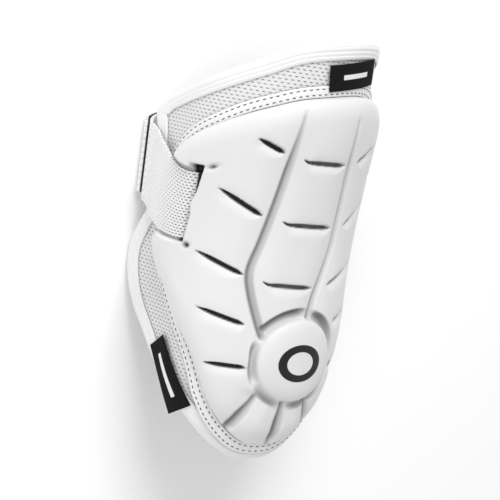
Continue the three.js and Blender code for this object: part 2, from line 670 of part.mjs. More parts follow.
const guard = new THREE.Group();
guard.add(
  piece('liner', linerSheet(), MESH_GREY, 0.9),
  piece('binding', linerBinding(), WHITE, 0.85),
  piece('edge_tape', edgeTape(), WHITE, 0.8),
  piece('pad', mouldedPad(), WHITE, 0.6),
  piece('strap_loop_side', loopStrap(), WHITE, 0.85),
  piece('strap_hook_side', hookStrap(), WHITE, 0.85),
  piece('hook_patch', hookPatch(), BLACK, 0.95),
  piece('top_label', labelSheet(TOP_LABEL), BLACK, 0.7),
  piece('side_label', labelSheet(SIDE_LABEL), BLACK, 0.7),
);

// The guard stands with its lowest face on the ground, over the middle of its box.
const box = new THREE.Box3().setFromObject(guard);
const middle = box.getCenter(new THREE.Vector3());
guard.position.set(-middle.x, -middle.y, -box.min.z);

export default guard;
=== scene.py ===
"""Looks of a baseball elbow guard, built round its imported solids.

Every piece is laid out on one half-pipe shell. A place on it is told by y, the distance along the
arm from the elbow end, by arc, the distance round it from the front line, negative on the side
that shows the strap, and by lift, the height off the face that lies on the arm. Sizes are in
millimetres, and points come out in metres in the row frame.
"""
import logging
import math
from dataclasses import dataclass, field
from enum import Enum
from typing import Callable, NamedTuple, Sequence

import bpy
import numpy as np
from mathutils import Matrix, Vector
from mathutils.kdtree import KDTree


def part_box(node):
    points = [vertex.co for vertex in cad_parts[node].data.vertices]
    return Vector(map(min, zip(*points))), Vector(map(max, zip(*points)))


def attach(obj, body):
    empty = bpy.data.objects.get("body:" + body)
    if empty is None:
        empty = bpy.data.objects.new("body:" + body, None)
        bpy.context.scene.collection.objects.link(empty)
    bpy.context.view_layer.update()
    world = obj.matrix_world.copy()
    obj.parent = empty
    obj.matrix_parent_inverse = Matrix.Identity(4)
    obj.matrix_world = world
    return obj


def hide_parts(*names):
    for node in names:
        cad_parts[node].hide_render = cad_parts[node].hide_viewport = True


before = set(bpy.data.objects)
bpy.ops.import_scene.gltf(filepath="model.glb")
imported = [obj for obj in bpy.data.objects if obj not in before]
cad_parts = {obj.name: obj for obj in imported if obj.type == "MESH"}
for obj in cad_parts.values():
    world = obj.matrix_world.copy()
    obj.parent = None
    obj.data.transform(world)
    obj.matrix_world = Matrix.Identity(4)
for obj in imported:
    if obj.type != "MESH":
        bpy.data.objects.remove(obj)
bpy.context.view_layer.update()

LOG = logging.getLogger("elbow_guard")
METRES = 0.001
QUARTER = math.pi / 2
PLACE_MAP = "place"
# Name of the point attribute that carries the painted shade of the pad's grooves.
PAINTED_SHADE = "painted_shade"


class SectionRow(NamedTuple):
    """A section along the arm, in shares of the shell's width, rise and side depth."""

    at: float
    width: float
    rise: float
    centre: float


class ReachRow(NamedTuple):
    """How far round a layer reaches, in quarter turns, at a share of its length."""

    at: float
    turn: float


class EdgeRow(NamedTuple):
    """How far an edge falls back or climbs at a share of the reach, in shares of the length."""

    side: float
    liner: float
    pad: float


class LineRow(NamedTuple):
    """The two long grooves at a share of the length, in quarter turns."""

    at: float
    left: float
    right: float


class Groove(NamedTuple):
    """A straight groove from its outer to its inner end."""

    outer_at: float
    outer_turn: float
    inner_at: float
    inner_turn: float


SECTIONS = (
    SectionRow(0.00, 0.70, 0.64, 0.89), SectionRow(0.09, 0.80, 0.70, 1.05),
    SectionRow(0.18, 0.88, 0.74, 1.08), SectionRow(0.265, 0.91, 0.78, 1.055),
    SectionRow(0.35, 0.95, 0.82, 0.98), SectionRow(0.45, 0.98, 0.87, 0.88),
    SectionRow(0.55, 1.00, 0.92, 0.84), SectionRow(0.68, 1.00, 0.96, 0.905),
    SectionRow(0.80, 0.99, 0.99, 1.01), SectionRow(0.90, 0.98, 1.00, 1.07),
    SectionRow(1.00, 0.94, 0.99, 1.165),
)
LINER_REACH = (
    ReachRow(0.00, 1.08), ReachRow(0.05, 1.34), ReachRow(0.10, 1.50), ReachRow(0.20, 1.68),
    ReachRow(0.30, 1.81), ReachRow(0.40, 1.89), ReachRow(0.46, 1.84), ReachRow(0.53, 1.66),
    ReachRow(0.60, 1.50), ReachRow(0.70, 1.47), ReachRow(0.84, 1.49), ReachRow(0.93, 1.60),
    ReachRow(1.00, 1.78),
)
PAD_REACH = (
    ReachRow(0.00, 0.56), ReachRow(0.05, 0.61), ReachRow(0.10, 0.65), ReachRow(0.20, 0.72),
    ReachRow(0.30, 0.79), ReachRow(0.40, 0.90), ReachRow(0.50, 1.09), ReachRow(0.56, 1.16),
    ReachRow(0.64, 1.04), ReachRow(0.74, 1.00), ReachRow(0.90, 1.03), ReachRow(1.00, 1.00),
)
RIM_DROPS = (
    EdgeRow(-1.00, 0.215, 0.200), EdgeRow(-0.93, 0.182, 0.163), EdgeRow(-0.85, 0.163, 0.135),
    EdgeRow(-0.68, 0.131, 0.096), EdgeRow(-0.50, 0.092, 0.060), EdgeRow(-0.35, 0.058, 0.037),
    EdgeRow(-0.20, 0.024, 0.017), EdgeRow(0.00, 0.003, 0.003), EdgeRow(0.30, -0.006, -0.006),
    EdgeRow(0.50, 0.012, 0.010), EdgeRow(0.70, 0.058, 0.050), EdgeRow(0.85, 0.110, 0.102),
    EdgeRow(0.93, 0.138, 0.130), EdgeRow(1.00, 0.178, 0.172),
)
TIP_CLIMBS = (
    EdgeRow(0.00, 0.000, 0.003), EdgeRow(0.15, 0.004, 0.005), EdgeRow(0.28, 0.022, 0.011),
    EdgeRow(0.42, 0.048, 0.024), EdgeRow(0.58, 0.082, 0.045), EdgeRow(0.72, 0.112, 0.067),
    EdgeRow(0.86, 0.140, 0.096), EdgeRow(1.00, 0.168, 0.132),
)
LONG_GROOVES = (
    LineRow(0.855, -0.170, 0.205), LineRow(0.720, -0.190, 0.245), LineRow(0.583, -0.230, 0.260),
    LineRow(0.525, -0.260, 0.255), LineRow(0.455, -0.305, 0.210), LineRow(0.410, -0.285, 0.170),
    LineRow(0.330, -0.210, 0.120), LineRow(0.312, -0.187, 0.108),
)
SIDE_SLITS = (
    Groove(0.769, -0.41, 0.743, -0.24), Groove(0.644, -0.57, 0.592, -0.28),
    Groove(0.492, -0.65, 0.451, -0.34), Groove(0.364, -0.63, 0.337, -0.31),
    Groove(0.238, -0.57, 0.237, -0.28), Groove(0.770, 0.50, 0.735, 0.31),
    Groove(0.640, 0.60, 0.581, 0.33), Groove(0.492, 0.64, 0.436, 0.27),
    Groove(0.364, 0.64, 0.345, 0.40), Groove(0.238, 0.60, 0.240, 0.44),
)
MIDDLE_SLITS = (
    Groove(0.727, -0.13, 0.726, 0.19), Groove(0.578, -0.17, 0.575, 0.20),
    Groove(0.434, -0.23, 0.430, 0.13),
)
RADIAL_GROOVES = (
    Groove(0.060, -0.40, 0.160, -0.20), Groove(0.026, 0.05, 0.150, 0.04),
    Groove(0.060, 0.41, 0.160, 0.26),
)


def read_table(rows: Sequence[NamedTuple], column: str, at: np.ndarray) -> np.ndarray:
    """Reads a column along a smooth curve through the rows of a table.

    Args:
        rows: The table, whose first column is the place.
        column: The name of the column to read.
        at: The places to read it at.

    Returns:
        The column's value at each place.
    """
    x = np.array([row[0] for row in rows])
    v = np.array([getattr(row, column) for row in rows])
    slopes = np.diff(v) / np.diff(x)
    tangents = np.concatenate([slopes[:1], (slopes[:-1] + slopes[1:]) / 2, slopes[-1:]])
    at = np.clip(at, x[0], x[-1])
    i = np.clip(np.searchsorted(x, at, side="right") - 1, 0, len(x) - 2)
    span = x[i + 1] - x[i]
    t = (at - x[i]) / span
    return ((1 + 2 * t) * (1 - t) ** 2 * v[i] + t * (1 - t) ** 2 * span * tangents[i]
            + t * t * (3 - 2 * t) * v[i + 1] + t * t * (t - 1) * span * tangents[i + 1])


def smooth_step(value: np.ndarray, low: float, high: float) -> np.ndarray:
    """Rises smoothly from 0 at low to 1 at high.

    Args:
        value: Where to read the step.
        low: Where it begins.
        high: Where it ends.

    Returns:
        The step's height at each value.
    """
    t = np.clip((value - low) / (high - low), 0, 1)
    return t * t * (3 - 2 * t)


@dataclass
class Shell:
    """The half-pipe that carries every layer."""

    length: float = 242.0
    width: float = 105.0
    rise: float = 48.0
    side_depth: float = 38.0
    splay: float = 7.0
    shift: np.ndarray = field(default_factory=lambda: np.zeros(3))

    def section(self, y: np.ndarray) -> tuple[np.ndarray, np.ndarray, np.ndarray]:
        """Reads the section at y.

        Args:
            y: Distances along the arm.

        Returns:
            The half width, the rise and the height of the centre.
        """
        at = y / self.length
        return (read_table(SECTIONS, "width", at) * self.width / 2,
                read_table(SECTIONS, "rise", at) * self.rise,
                read_table(SECTIONS, "centre", at) * self.side_depth)

    def quarter(self, y: np.ndarray) -> np.ndarray:
        """Returns the length of a quarter of the arch at y."""
        width, rise, _ = self.section(y)
        return QUARTER * np.sqrt((width ** 2 + rise ** 2) / 2)

    def arc_of(self, y: np.ndarray, turn: np.ndarray) -> np.ndarray:
        """Turns quarter turns into a distance round the shell.

        Args:
            y: Distances along the arm.
            turn: Quarter turns from the front line.

        Returns:
            Distances round the shell.
        """
        quarter = self.quarter(y)
        size = np.abs(turn)
        return np.sign(turn) * (np.minimum(size, 1) * quarter
                                + np.maximum(size - 1, 0) * self.side_depth)

    def point(self, y: np.ndarray, arc: np.ndarray, lift: np.ndarray) -> np.ndarray:
        """Finds points of the shell in space.

        Args:
            y: Distances along the arm.
            arc: Distances round the shell.
            lift: Heights off the inner face.

        Returns:
            Points in metres, along a last axis of three.
        """
        y, arc, lift = np.broadcast_arrays(np.asarray(y, float), arc, lift)
        width, rise, centre = self.section(y)
        quarter = QUARTER * np.sqrt((width ** 2 + rise ** 2) / 2)
        size = np.abs(arc)
        angle = np.minimum(size / quarter, 1) * QUARTER
        below = np.maximum(size - quarter, 0) / self.side_depth
        lean = 2 * self.splay * below / self.side_depth
        out_x = np.where(below > 0, 1, np.sin(angle) / width)
        out_z = np.where(below > 0, lean, np.cos(angle) / rise)
        scale = lift / np.hypot(out_x, out_z)
        x = width * np.sin(angle) + self.splay * below ** 2 + out_x * scale
        z = centre + rise * np.cos(angle) - self.side_depth * below + out_z * scale
        return self.to_row(np.stack([np.where(arc < 0, -x, x), y, z], -1))

    def to_row(self, points: np.ndarray) -> np.ndarray:
        """Moves points from the shell's own millimetres to the row frame's metres."""
        return (points + self.shift) * METRES


@dataclass(frozen=True)
class Patch:
    """The part of the shell that one layer covers."""

    shell: Shell
    layer: str
    bottom: float
    top: float
    reach: tuple[ReachRow, ...]
    rim_falls_from: float = 0.42
    tip_climbs_to: float = 0.40

    def place(self, side: np.ndarray, along: np.ndarray) -> tuple[np.ndarray, np.ndarray]:
        """Maps the patch's own shares to a place on the shell.

        Args:
            side: From -1 to 1 across the patch.
            along: From 0 at the elbow end to 1 at the rim.

        Returns:
            The distances along the arm and round the shell.
        """
        side, along = np.broadcast_arrays(np.asarray(side, float), along)
        length = self.shell.length
        fall = smooth_step(along, self.rim_falls_from, 1)
        rise = 1 - smooth_step(along, 0, self.tip_climbs_to)
        drop = read_table(RIM_DROPS, self.layer, side) * fall
        climb = read_table(TIP_CLIMBS, self.layer, np.abs(side)) * rise
        level = self.bottom + (self.top - self.bottom) * along
        edge = length * (level + getattr(TIP_CLIMBS[-1], self.layer) * rise)
        reach = self.shell.arc_of(edge, read_table(self.reach, "turn", along))
        return length * (level - drop + climb), side * reach

    def grid(self, rows: int, columns: int) -> tuple[np.ndarray, np.ndarray]:
        """Lays an even grid over the patch.

        Args:
            rows: Cells along the arm.
            columns: Cells across.

        Returns:
            The grid's distances along the arm and round the shell.
        """
        return self.place(np.linspace(-1, 1, columns + 1)[None, :],
                          np.linspace(0, 1, rows + 1)[:, None])

    def outline(self, spacing: float = 1.2) -> np.ndarray:
        """Walks counterclockwise round the patch.

        Args:
            spacing: The distance between the points.

        Returns:
            Points of two columns, the distance round the shell and along the arm.
        """
        spread, up = np.linspace(-1, 1, 400), np.linspace(0, 1, 400)
        walks = [(spread, 0 * spread), (1 + 0 * up, up), (-spread, 1 + 0 * spread),
                 (-1 + 0 * up, 1 - up)]
        points = np.concatenate([np.stack(self.place(s, a)[::-1], -1)[:-1] for s, a in walks])
        steps = np.hypot(*(np.roll(points, -1, 0) - points).T)
        run = np.concatenate([[0], np.cumsum(steps)])
        count = int(run[-1] / spacing)
        even = np.arange(count) * run[-1] / count
        closed = np.vstack([points, points[:1]])
        return np.stack([np.interp(even, run, closed[:, k]) for k in (0, 1)], -1)


def smooth_round(values: np.ndarray, reach: float) -> np.ndarray:
    """Averages values round a closed loop.

    Args:
        values: One row for each point of the loop.
        reach: The spread of the average, in points.

    Returns:
        The averaged rows.
    """
    count = len(values)
    offset = np.minimum(np.arange(count), count - np.arange(count))
    kernel = np.exp(-0.5 * (offset / reach) ** 2)
    kernel /= kernel.sum()
    return np.real(np.fft.ifft(np.fft.fft(values, axis=0) * np.fft.fft(kernel)[:, None], axis=0))


class EdgeLoop:
    """A closed line round a patch, with even outward directions."""

    def __init__(self, patch: Patch, spacing: float = 1.2, easing: float = 6.0) -> None:
        """Follows the patch's outline.

        Args:
            patch: The patch to follow.
            spacing: The distance between the points.
            easing: How far a corner's turn is spread out.
        """
        self.shell = patch.shell
        self.places = patch.outline(spacing)
        ahead = np.roll(self.places, -1, 0) - np.roll(self.places, 1, 0)
        out = np.stack([ahead[:, 1], -ahead[:, 0]], -1)
        out /= np.linalg.norm(out, axis=1, keepdims=True)
        out = smooth_round(out, easing / spacing)
        self.out = out / np.linalg.norm(out, axis=1, keepdims=True)
        steps = np.hypot(*(np.roll(self.places, -1, 0) - self.places).T)
        self.run = np.concatenate([[0], np.cumsum(steps)])

    def line(self, out: float, lift: np.ndarray) -> np.ndarray:
        """Moves the loop outward on the shell.

        Args:
            out: How far outward.
            lift: The height off the shell's inner face, alike or point by point.

        Returns:
            Points in metres.
        """
        arc, y = (self.places + self.out * out).T
        return self.shell.point(y, arc, lift)

    def band(self, profile: Sequence[tuple[float, float]], lift: np.ndarray) -> np.ndarray:
        """Sweeps a closed profile round the loop.

        Args:
            profile: Pairs of outward distance and height over the band's lift.
            lift: The band's lift, alike or point by point.

        Returns:
            A grid of points, one row for each point of the loop.
        """
        return np.stack([self.line(out, lift + height) for out, height in profile], 1)


def grid_faces(rows: int, columns: int, start: int = 0, flip: bool = False,
               round_rows: bool = False, round_columns: bool = False) -> np.ndarray:
    """Lists the quads of a grid of points.

    Args:
        rows: Points down the grid.
        columns: Points across it.
        start: The index of its first point.
        flip: Whether the faces look the other way.
        round_rows: Whether the last row joins the first.
        round_columns: Whether the last column joins the first.

    Returns:
        One row of four indices for each quad.
    """
    i = np.arange(rows if round_rows else rows - 1)[:, None]
    j = np.arange(columns if round_columns else columns - 1)[None, :]
    below, beside = (i + 1) % rows, (j + 1) % columns
    quads = np.stack(np.broadcast_arrays(
        i * columns + j, i * columns + beside, below * columns + beside, below * columns + j), -1)
    quads = quads.reshape(-1, 4) + start
    return quads[:, ::-1] if flip else quads


def make_mesh(name: str, points: np.ndarray, faces: Sequence[Sequence[int]],
              places: np.ndarray | None = None, painted_shade: np.ndarray | None = None,
              sharp: float = 50.0) -> bpy.types.Object:
    """Makes a smooth shaded object whose faces look outward.

    Args:
        name: The object's name.
        points: Its points in metres.
        faces: Its faces as lists of indices.
        places: Two numbers for each point, kept as a map for the patterns.
        painted_shade: How much painted shade each point takes, from 0 to 1, for the shade down in
            the grooves.
        sharp: The angle in degrees from which an edge stays sharp.

    Returns:
        The new object.
    """
    mesh = bpy.data.meshes.new(name)
    mesh.from_pydata(points.tolist(), [], [list(map(int, face)) for face in faces])
    mesh.validate()
    corners = np.zeros(len(mesh.loops), np.int32)
    mesh.loops.foreach_get("vertex_index", corners)
    if signed_volume(points, mesh) < 0:
        mesh.flip_normals()
        mesh.loops.foreach_get("vertex_index", corners)
    if places is not None:
        layer = mesh.uv_layers.new(name=PLACE_MAP)
        layer.data.foreach_set("uv", places[corners].astype(np.float32).ravel())
    # Keeps the painted shade of the grooves as a point attribute for the pad's finish.
    if painted_shade is not None:
        shade = mesh.attributes.new(PAINTED_SHADE, "FLOAT", "POINT")
        shade.data.foreach_set("value", painted_shade.astype(np.float32))
    mesh.shade_smooth()
    mesh.set_sharp_from_angle(angle=math.radians(sharp))
    obj = bpy.data.objects.new(name, mesh)
    bpy.context.scene.collection.objects.link(obj)
    return obj


def signed_volume(points: np.ndarray, mesh: bpy.types.Mesh) -> float:
    """Returns the volume inside a mesh, which is negative if its faces look inward."""
    mesh.calc_loop_triangles()
    corners = np.zeros(len(mesh.loop_triangles) * 3, np.int32)
    mesh.loop_triangles.foreach_get("vertices", corners)
    a, b, c = points[corners.reshape(-1, 3)].transpose(1, 0, 2)
    return float(np.einsum("ij,ij->i", a, np.cross(b, c)).sum() / 6)


def rim_walk(rows: int, columns: int) -> list[int]:
    """Walks round the border of a grid of points.

    Args:
        rows: Points down the grid.
        columns: Points across it.

    Returns:
        The border's indices in order.
    """
    across, down = range(columns - 1), range(rows - 1)
    return (list(across) + [i * columns + columns - 1 for i in down]
            + [(rows - 1) * columns + columns - 1 - j for j in across]
            + [(rows - 1 - i) * columns for i in down])


def sheet_mesh(name: str, over: np.ndarray, under: np.ndarray, places: np.ndarray,
               stride: int = 1, painted_shade: np.ndarray | None = None,
               sharp: float = 50.0) -> bpy.types.Object:
    """Makes a closed sheet from a grid over it and a grid under it.

    Args:
        name: The object's name.
        over: The upper points.
        under: The lower points, on the same grid.
        places: The map's numbers on the same grid.
        stride: How much coarser the lower face is. It divides the grid's cells.
        painted_shade: How much painted shade the upper points take, from 0 to 1.
        sharp: The angle in degrees from which an edge stays sharp.

    Returns:
        The new object.
    """
    rows, columns = over.shape[:2]
    low, low_places = under[::stride, ::stride], places[::stride, ::stride]
    low_rows, low_columns = low.shape[:2]
    start = rows * columns
    faces = grid_faces(rows, columns).tolist()
    faces += grid_faces(low_rows, low_columns, start, flip=True).tolist()
    fine, coarse = rim_walk(rows, columns), rim_walk(low_rows, low_columns)
    for k, corner in enumerate(coarse):
        after = coarse[(k + 1) % len(coarse)]
        edge = [fine[(k * stride + n) % len(fine)] for n in range(stride + 1)]
        if stride == 1:
            faces.append([edge[0], start + corner, start + after, edge[1]])
            continue
        half = stride // 2
        faces += [[edge[n], start + corner, edge[n + 1]] for n in range(half)]
        faces.append([start + corner, start + after, edge[half]])
        faces += [[edge[n], start + after, edge[n + 1]] for n in range(half, stride)]
    points = np.concatenate([over.reshape(-1, 3), low.reshape(-1, 3)])
    flat = np.concatenate([places.reshape(-1, 2), low_places.reshape(-1, 2)])
    shade = None
    if painted_shade is not None:
        shade = np.concatenate([painted_shade.ravel(), np.zeros(low_rows * low_columns)])
    return make_mesh(name, points, faces, flat, shade, sharp)


def band_mesh(name: str, grid: np.ndarray, run: np.ndarray,
              profile: Sequence[tuple[float, float]], sharp: float = 50.0) -> bpy.types.Object:
    """Makes a closed band from a grid of points that joins up both ways.

    Args:
        name: The object's name.
        grid: The points, a row for each place round the loop.
        run: The distance run at each row.
        profile: The band's profile, for the map's second number.
        sharp: The angle in degrees from which an edge stays sharp.

    Returns:
        The new object.
    """
    rows, columns = grid.shape[:2]
    faces = grid_faces(rows, columns, round_rows=True, round_columns=True)
    steps = [math.dist(profile[k], profile[k - 1]) if k else 0.0 for k in range(columns)]
    across = np.cumsum(steps)
    places = np.stack(np.broadcast_arrays(run[:rows, None], across[None, :]), -1)
    return make_mesh(name, grid.reshape(-1, 3), faces, places.reshape(-1, 2), sharp=sharp)


Socket = bpy.types.NodeSocket
Amount = float | Socket


class Wiring:
    """Adds nodes to a tree and joins them."""

    def __init__(self, tree: bpy.types.NodeTree) -> None:
        """Keeps the tree and its links."""
        self.tree = tree

    def add(self, kind: str, **settings: object) -> bpy.types.Node:
        """Adds a node.

        Args:
            kind: The node's type.
            settings: Its properties by name.

        Returns:
            The new node.
        """
        node = self.tree.nodes.new(kind)
        for name, value in settings.items():
            setattr(node, name, value)
        return node

    def feed(self, target: Socket, source: Amount) -> None:
        """Links a socket to another, or sets its value.

        Args:
            target: The socket that takes it.
            source: A socket or a constant.
        """
        if isinstance(source, bpy.types.NodeSocket):
            self.tree.links.new(source, target)
        else:
            target.default_value = source

    def math(self, operation: str, *amounts: Amount, clamp: bool = False) -> Socket:
        """Adds a Math node.

        Args:
            operation: What it does.
            amounts: Its inputs in order.
            clamp: Whether it keeps its result from 0 to 1.

        Returns:
            Its output.
        """
        node = self.add("ShaderNodeMath", operation=operation, use_clamp=clamp)
        for target, amount in zip(node.inputs, amounts):
            self.feed(target, amount)
        return node.outputs[0]

    def mix(self, share: Amount, first: object, second: object) -> Socket:
        """Adds a colour mix.

        Args:
            share: How much of the second colour shows.
            first: A colour or a socket.
            second: A colour or a socket.

        Returns:
            The mixed colour.
        """
        node = self.add("ShaderNodeMix", data_type="RGBA", blend_type="MIX")
        self.feed(node.inputs["Factor"], share)
        self.feed(node.inputs[6], first)
        self.feed(node.inputs[7], second)
        return node.outputs[2]

    def fade(self, value: Socket, low: float, high: float, first: float, last: float) -> Socket:
        """Changes smoothly from one number to another over a stretch of a value.

        Args:
            value: The value that it follows.
            low: Where the stretch starts.
            high: Where it ends.
            first: The number below the stretch.
            last: The number above it.

        Returns:
            The number at each place.
        """
        node = self.add("ShaderNodeMapRange", interpolation_type="SMOOTHSTEP")
        for target, amount in zip(node.inputs, (value, low, high, first, last)):
            self.feed(target, amount)
        return node.outputs[0]

    def group(self, tree: bpy.types.NodeTree, **inputs: Amount) -> bpy.types.Node:
        """Places a node group.

        Args:
            tree: The group.
            inputs: Its inputs by name, with underscores for spaces.

        Returns:
            The group's node.
        """
        node = self.add("ShaderNodeGroup", node_tree=tree)
        for name, amount in inputs.items():
            self.feed(node.inputs[name.replace("_", " ")], amount)
        return node


class Effect(Enum):
    """The shader groups that the finishes share."""

    DASHES = "slanted dashes in offset rows"
    RIBS = "even ribs"
    GRAIN = "fine grain and slow tone"
    BAR = "plain bar"


class Effects:
    """Builds each shared shader group once."""

    def __init__(self) -> None:
        """Starts with no group built."""
        self.built: dict[Effect, bpy.types.NodeTree] = {}

    def get(self, effect: Effect) -> bpy.types.NodeTree:
        """Gives a group, building it at its first use.

        Args:
            effect: Which group.

        Returns:
            The group's tree.
        """
        makers: dict[Effect, Callable[[], bpy.types.NodeTree]] = {
            Effect.DASHES: self.dashes, Effect.RIBS: self.ribs,
            Effect.GRAIN: self.grain, Effect.BAR: self.bar}
        if effect not in self.built:
            self.built[effect] = makers[effect]()
        return self.built[effect]

    @staticmethod
    def start(name: str, numbers: dict[str, float], outputs: Sequence[str],
              ) -> tuple[Wiring, dict[str, Socket], dict[str, Socket]]:
        """Begins a group with its sockets.

        Args:
            name: The group's name.
            numbers: Its number inputs with their usual values.
            outputs: Its number outputs.

        Returns:
            The wiring, and the sockets inside the group by name.
        """
        tree = bpy.data.node_groups.new(name, "ShaderNodeTree")
        tree.interface.new_socket("Place", in_out="INPUT", socket_type="NodeSocketVector")
        for label, value in numbers.items():
            socket = tree.interface.new_socket(
                label, in_out="INPUT", socket_type="NodeSocketFloat")
            socket.default_value = value
        for label in outputs:
            tree.interface.new_socket(label, in_out="OUTPUT", socket_type="NodeSocketFloat")
        wiring = Wiring(tree)
        source, target = wiring.add("NodeGroupInput"), wiring.add("NodeGroupOutput")
        return (wiring, {s.name: s for s in source.outputs if s.name},
                {s.name: s for s in target.inputs if s.name})

    def dashes(self) -> bpy.types.NodeTree:
        """Builds rows of short slanted dashes, every other row moved by half a pitch."""
        w, given, result = self.start("slanted_dashes", {
            "Row Pitch": 2.0, "Dash Pitch": 3.0, "Slant": 0.5,
            "Dash Length": 0.5, "Dash Width": 0.3, "Softness": 0.1}, ["Dashes", "Threads"])
        split = w.add("ShaderNodeSeparateXYZ")
        w.feed(split.inputs[0], given["Place"])
        level = w.math("DIVIDE", split.outputs["Y"], given["Row Pitch"])
        row = w.math("FLOOR", level)
        across = w.math("SUBTRACT", w.math("SUBTRACT", level, row), 0.5)
        half = w.math("MULTIPLY", w.math("MODULO", w.math("ABSOLUTE", row), 2.0), 0.5)
        run = w.math("ADD", w.math("DIVIDE", split.outputs["X"], given["Dash Pitch"]), half)
        run = w.math("ADD", run, w.math("MULTIPLY", across, given["Slant"]))
        along = w.math("SUBTRACT", w.math("FRACT", run), 0.5)
        masks = []
        for reach, place in (("Dash Length", along), ("Dash Width", across)):
            inside = w.math("SUBTRACT", w.math("MULTIPLY", given[reach], 0.5),
                            w.math("ABSOLUTE", place))
            masks.append(w.math("DIVIDE", inside, given["Softness"], clamp=True))
        w.feed(result["Dashes"], w.math("MULTIPLY", *masks))
        swell = [w.math("COSINE", w.math("MULTIPLY", p, math.tau)) for p in (along, across)]
        w.feed(result["Threads"], w.math("MULTIPLY_ADD", w.math("ADD", *swell), 0.25, 0.5))
        return w.tree

    def ribs(self) -> bpy.types.NodeTree:
        """Builds even ribs that run along the map's first number."""
        w, given, result = self.start("ribs", {"Pitch": 1.0}, ["Height"])
        split = w.add("ShaderNodeSeparateXYZ")
        w.feed(split.inputs[0], given["Place"])
        angle = w.math("MULTIPLY", w.math("DIVIDE", split.outputs["Y"], given["Pitch"]), math.tau)
        w.feed(result["Height"], w.math("MULTIPLY_ADD", w.math("COSINE", angle), 0.5, 0.5))
        return w.tree

    def grain(self) -> bpy.types.NodeTree:
        """Builds a fine grain and a slow change of tone."""
        w, given, result = self.start(
            "grain", {"Grain Scale": 900.0, "Tone Scale": 25.0}, ["Grain", "Tone"])
        for label, scale, detail in (("Grain", "Grain Scale", 2.0), ("Tone", "Tone Scale", 3.0)):
            noise = w.add("ShaderNodeTexNoise")
            w.feed(noise.inputs["Vector"], given["Place"])
            w.feed(noise.inputs["Scale"], given[scale])
            noise.inputs["Detail"].default_value = detail
            w.feed(result[label], noise.outputs["Fac"])
        return w.tree

    def bar(self) -> bpy.types.NodeTree:
        """Builds a plain bar round the map's origin, with a soft border."""
        w, given, result = self.start("bar", {
            "Length": 10.0, "Height": 2.0, "Softness": 0.3}, ["Inside"])
        split = w.add("ShaderNodeSeparateXYZ")
        w.feed(split.inputs[0], given["Place"])
        masks = []
        for axis, reach in (("X", "Length"), ("Y", "Height")):
            off = w.math("ABSOLUTE", split.outputs[axis])
            inside = w.math("SUBTRACT", w.math("MULTIPLY", given[reach], 0.5), off)
            masks.append(w.math("DIVIDE", inside, given["Softness"], clamp=True))
        w.feed(result["Inside"], w.math("MULTIPLY", *masks))
        return w.tree


EFFECTS = Effects()
Colour = tuple[float, float, float, float]


def grey(level: float, tint: float = 0.0) -> Colour:
    """Makes a grey, a little cool where the tint is above 0.

    Args:
        level: Its brightness.
        tint: How much bluer it is than red.

    Returns:
        Red, green, blue and alpha.
    """
    return (level - tint, level, level + tint, 1.0)


def brighter(colour: Colour, times: float) -> Colour:
    """Returns a colour with its light multiplied."""
    return (colour[0] * times, colour[1] * times, colour[2] * times, colour[3])


class Surface:
    """A material with a Principled shader, and the nodes that its patterns start from."""

    def __init__(self, name: str, roughness: float, sheen: float = 0.0,
                 specular: float = 0.5) -> None:
        """Makes the material.

        Args:
            name: The material's name.
            roughness: The shader's roughness.
            sheen: The shader's sheen weight.
            specular: The shader's specular level.
        """
        self.material = bpy.data.materials.new(name)
        self.material.use_nodes = True
        self.wiring = Wiring(self.material.node_tree)
        self.shader = self.material.node_tree.nodes["Principled BSDF"]
        self.shader.inputs["Roughness"].default_value = roughness
        self.shader.inputs["Sheen Weight"].default_value = sheen
        self.shader.inputs["Specular IOR Level"].default_value = specular

    def map(self) -> Socket:
        """Gives the piece's own map, in millimetres."""
        return self.wiring.add("ShaderNodeUVMap", uv_map=PLACE_MAP).outputs["UV"]

    def solid(self) -> Socket:
        """Gives the place in space, for grain that needs no map."""
        return self.wiring.add("ShaderNodeTexCoord").outputs["Object"]

    def bump(self, height: Socket, distance: float, strength: float,
             under: Socket | None = None) -> Socket:
        """Adds relief.

        Args:
            height: The relief from 0 to 1.
            distance: Its depth in metres.
            strength: How much of it shows.
            under: The normal that it is added to.

        Returns:
            The new normal.
        """
        node = self.wiring.add("ShaderNodeBump")
        node.inputs["Distance"].default_value = distance
        node.inputs["Strength"].default_value = strength
        self.wiring.feed(node.inputs["Height"], height)
        if under is not None:
            self.wiring.feed(node.inputs["Normal"], under)
        self.wiring.feed(self.shader.inputs["Normal"], node.outputs["Normal"])
        return node.outputs["Normal"]

    def colour(self, source: object) -> None:
        """Sets the base colour."""
        self.wiring.feed(self.shader.inputs["Base Color"], source)


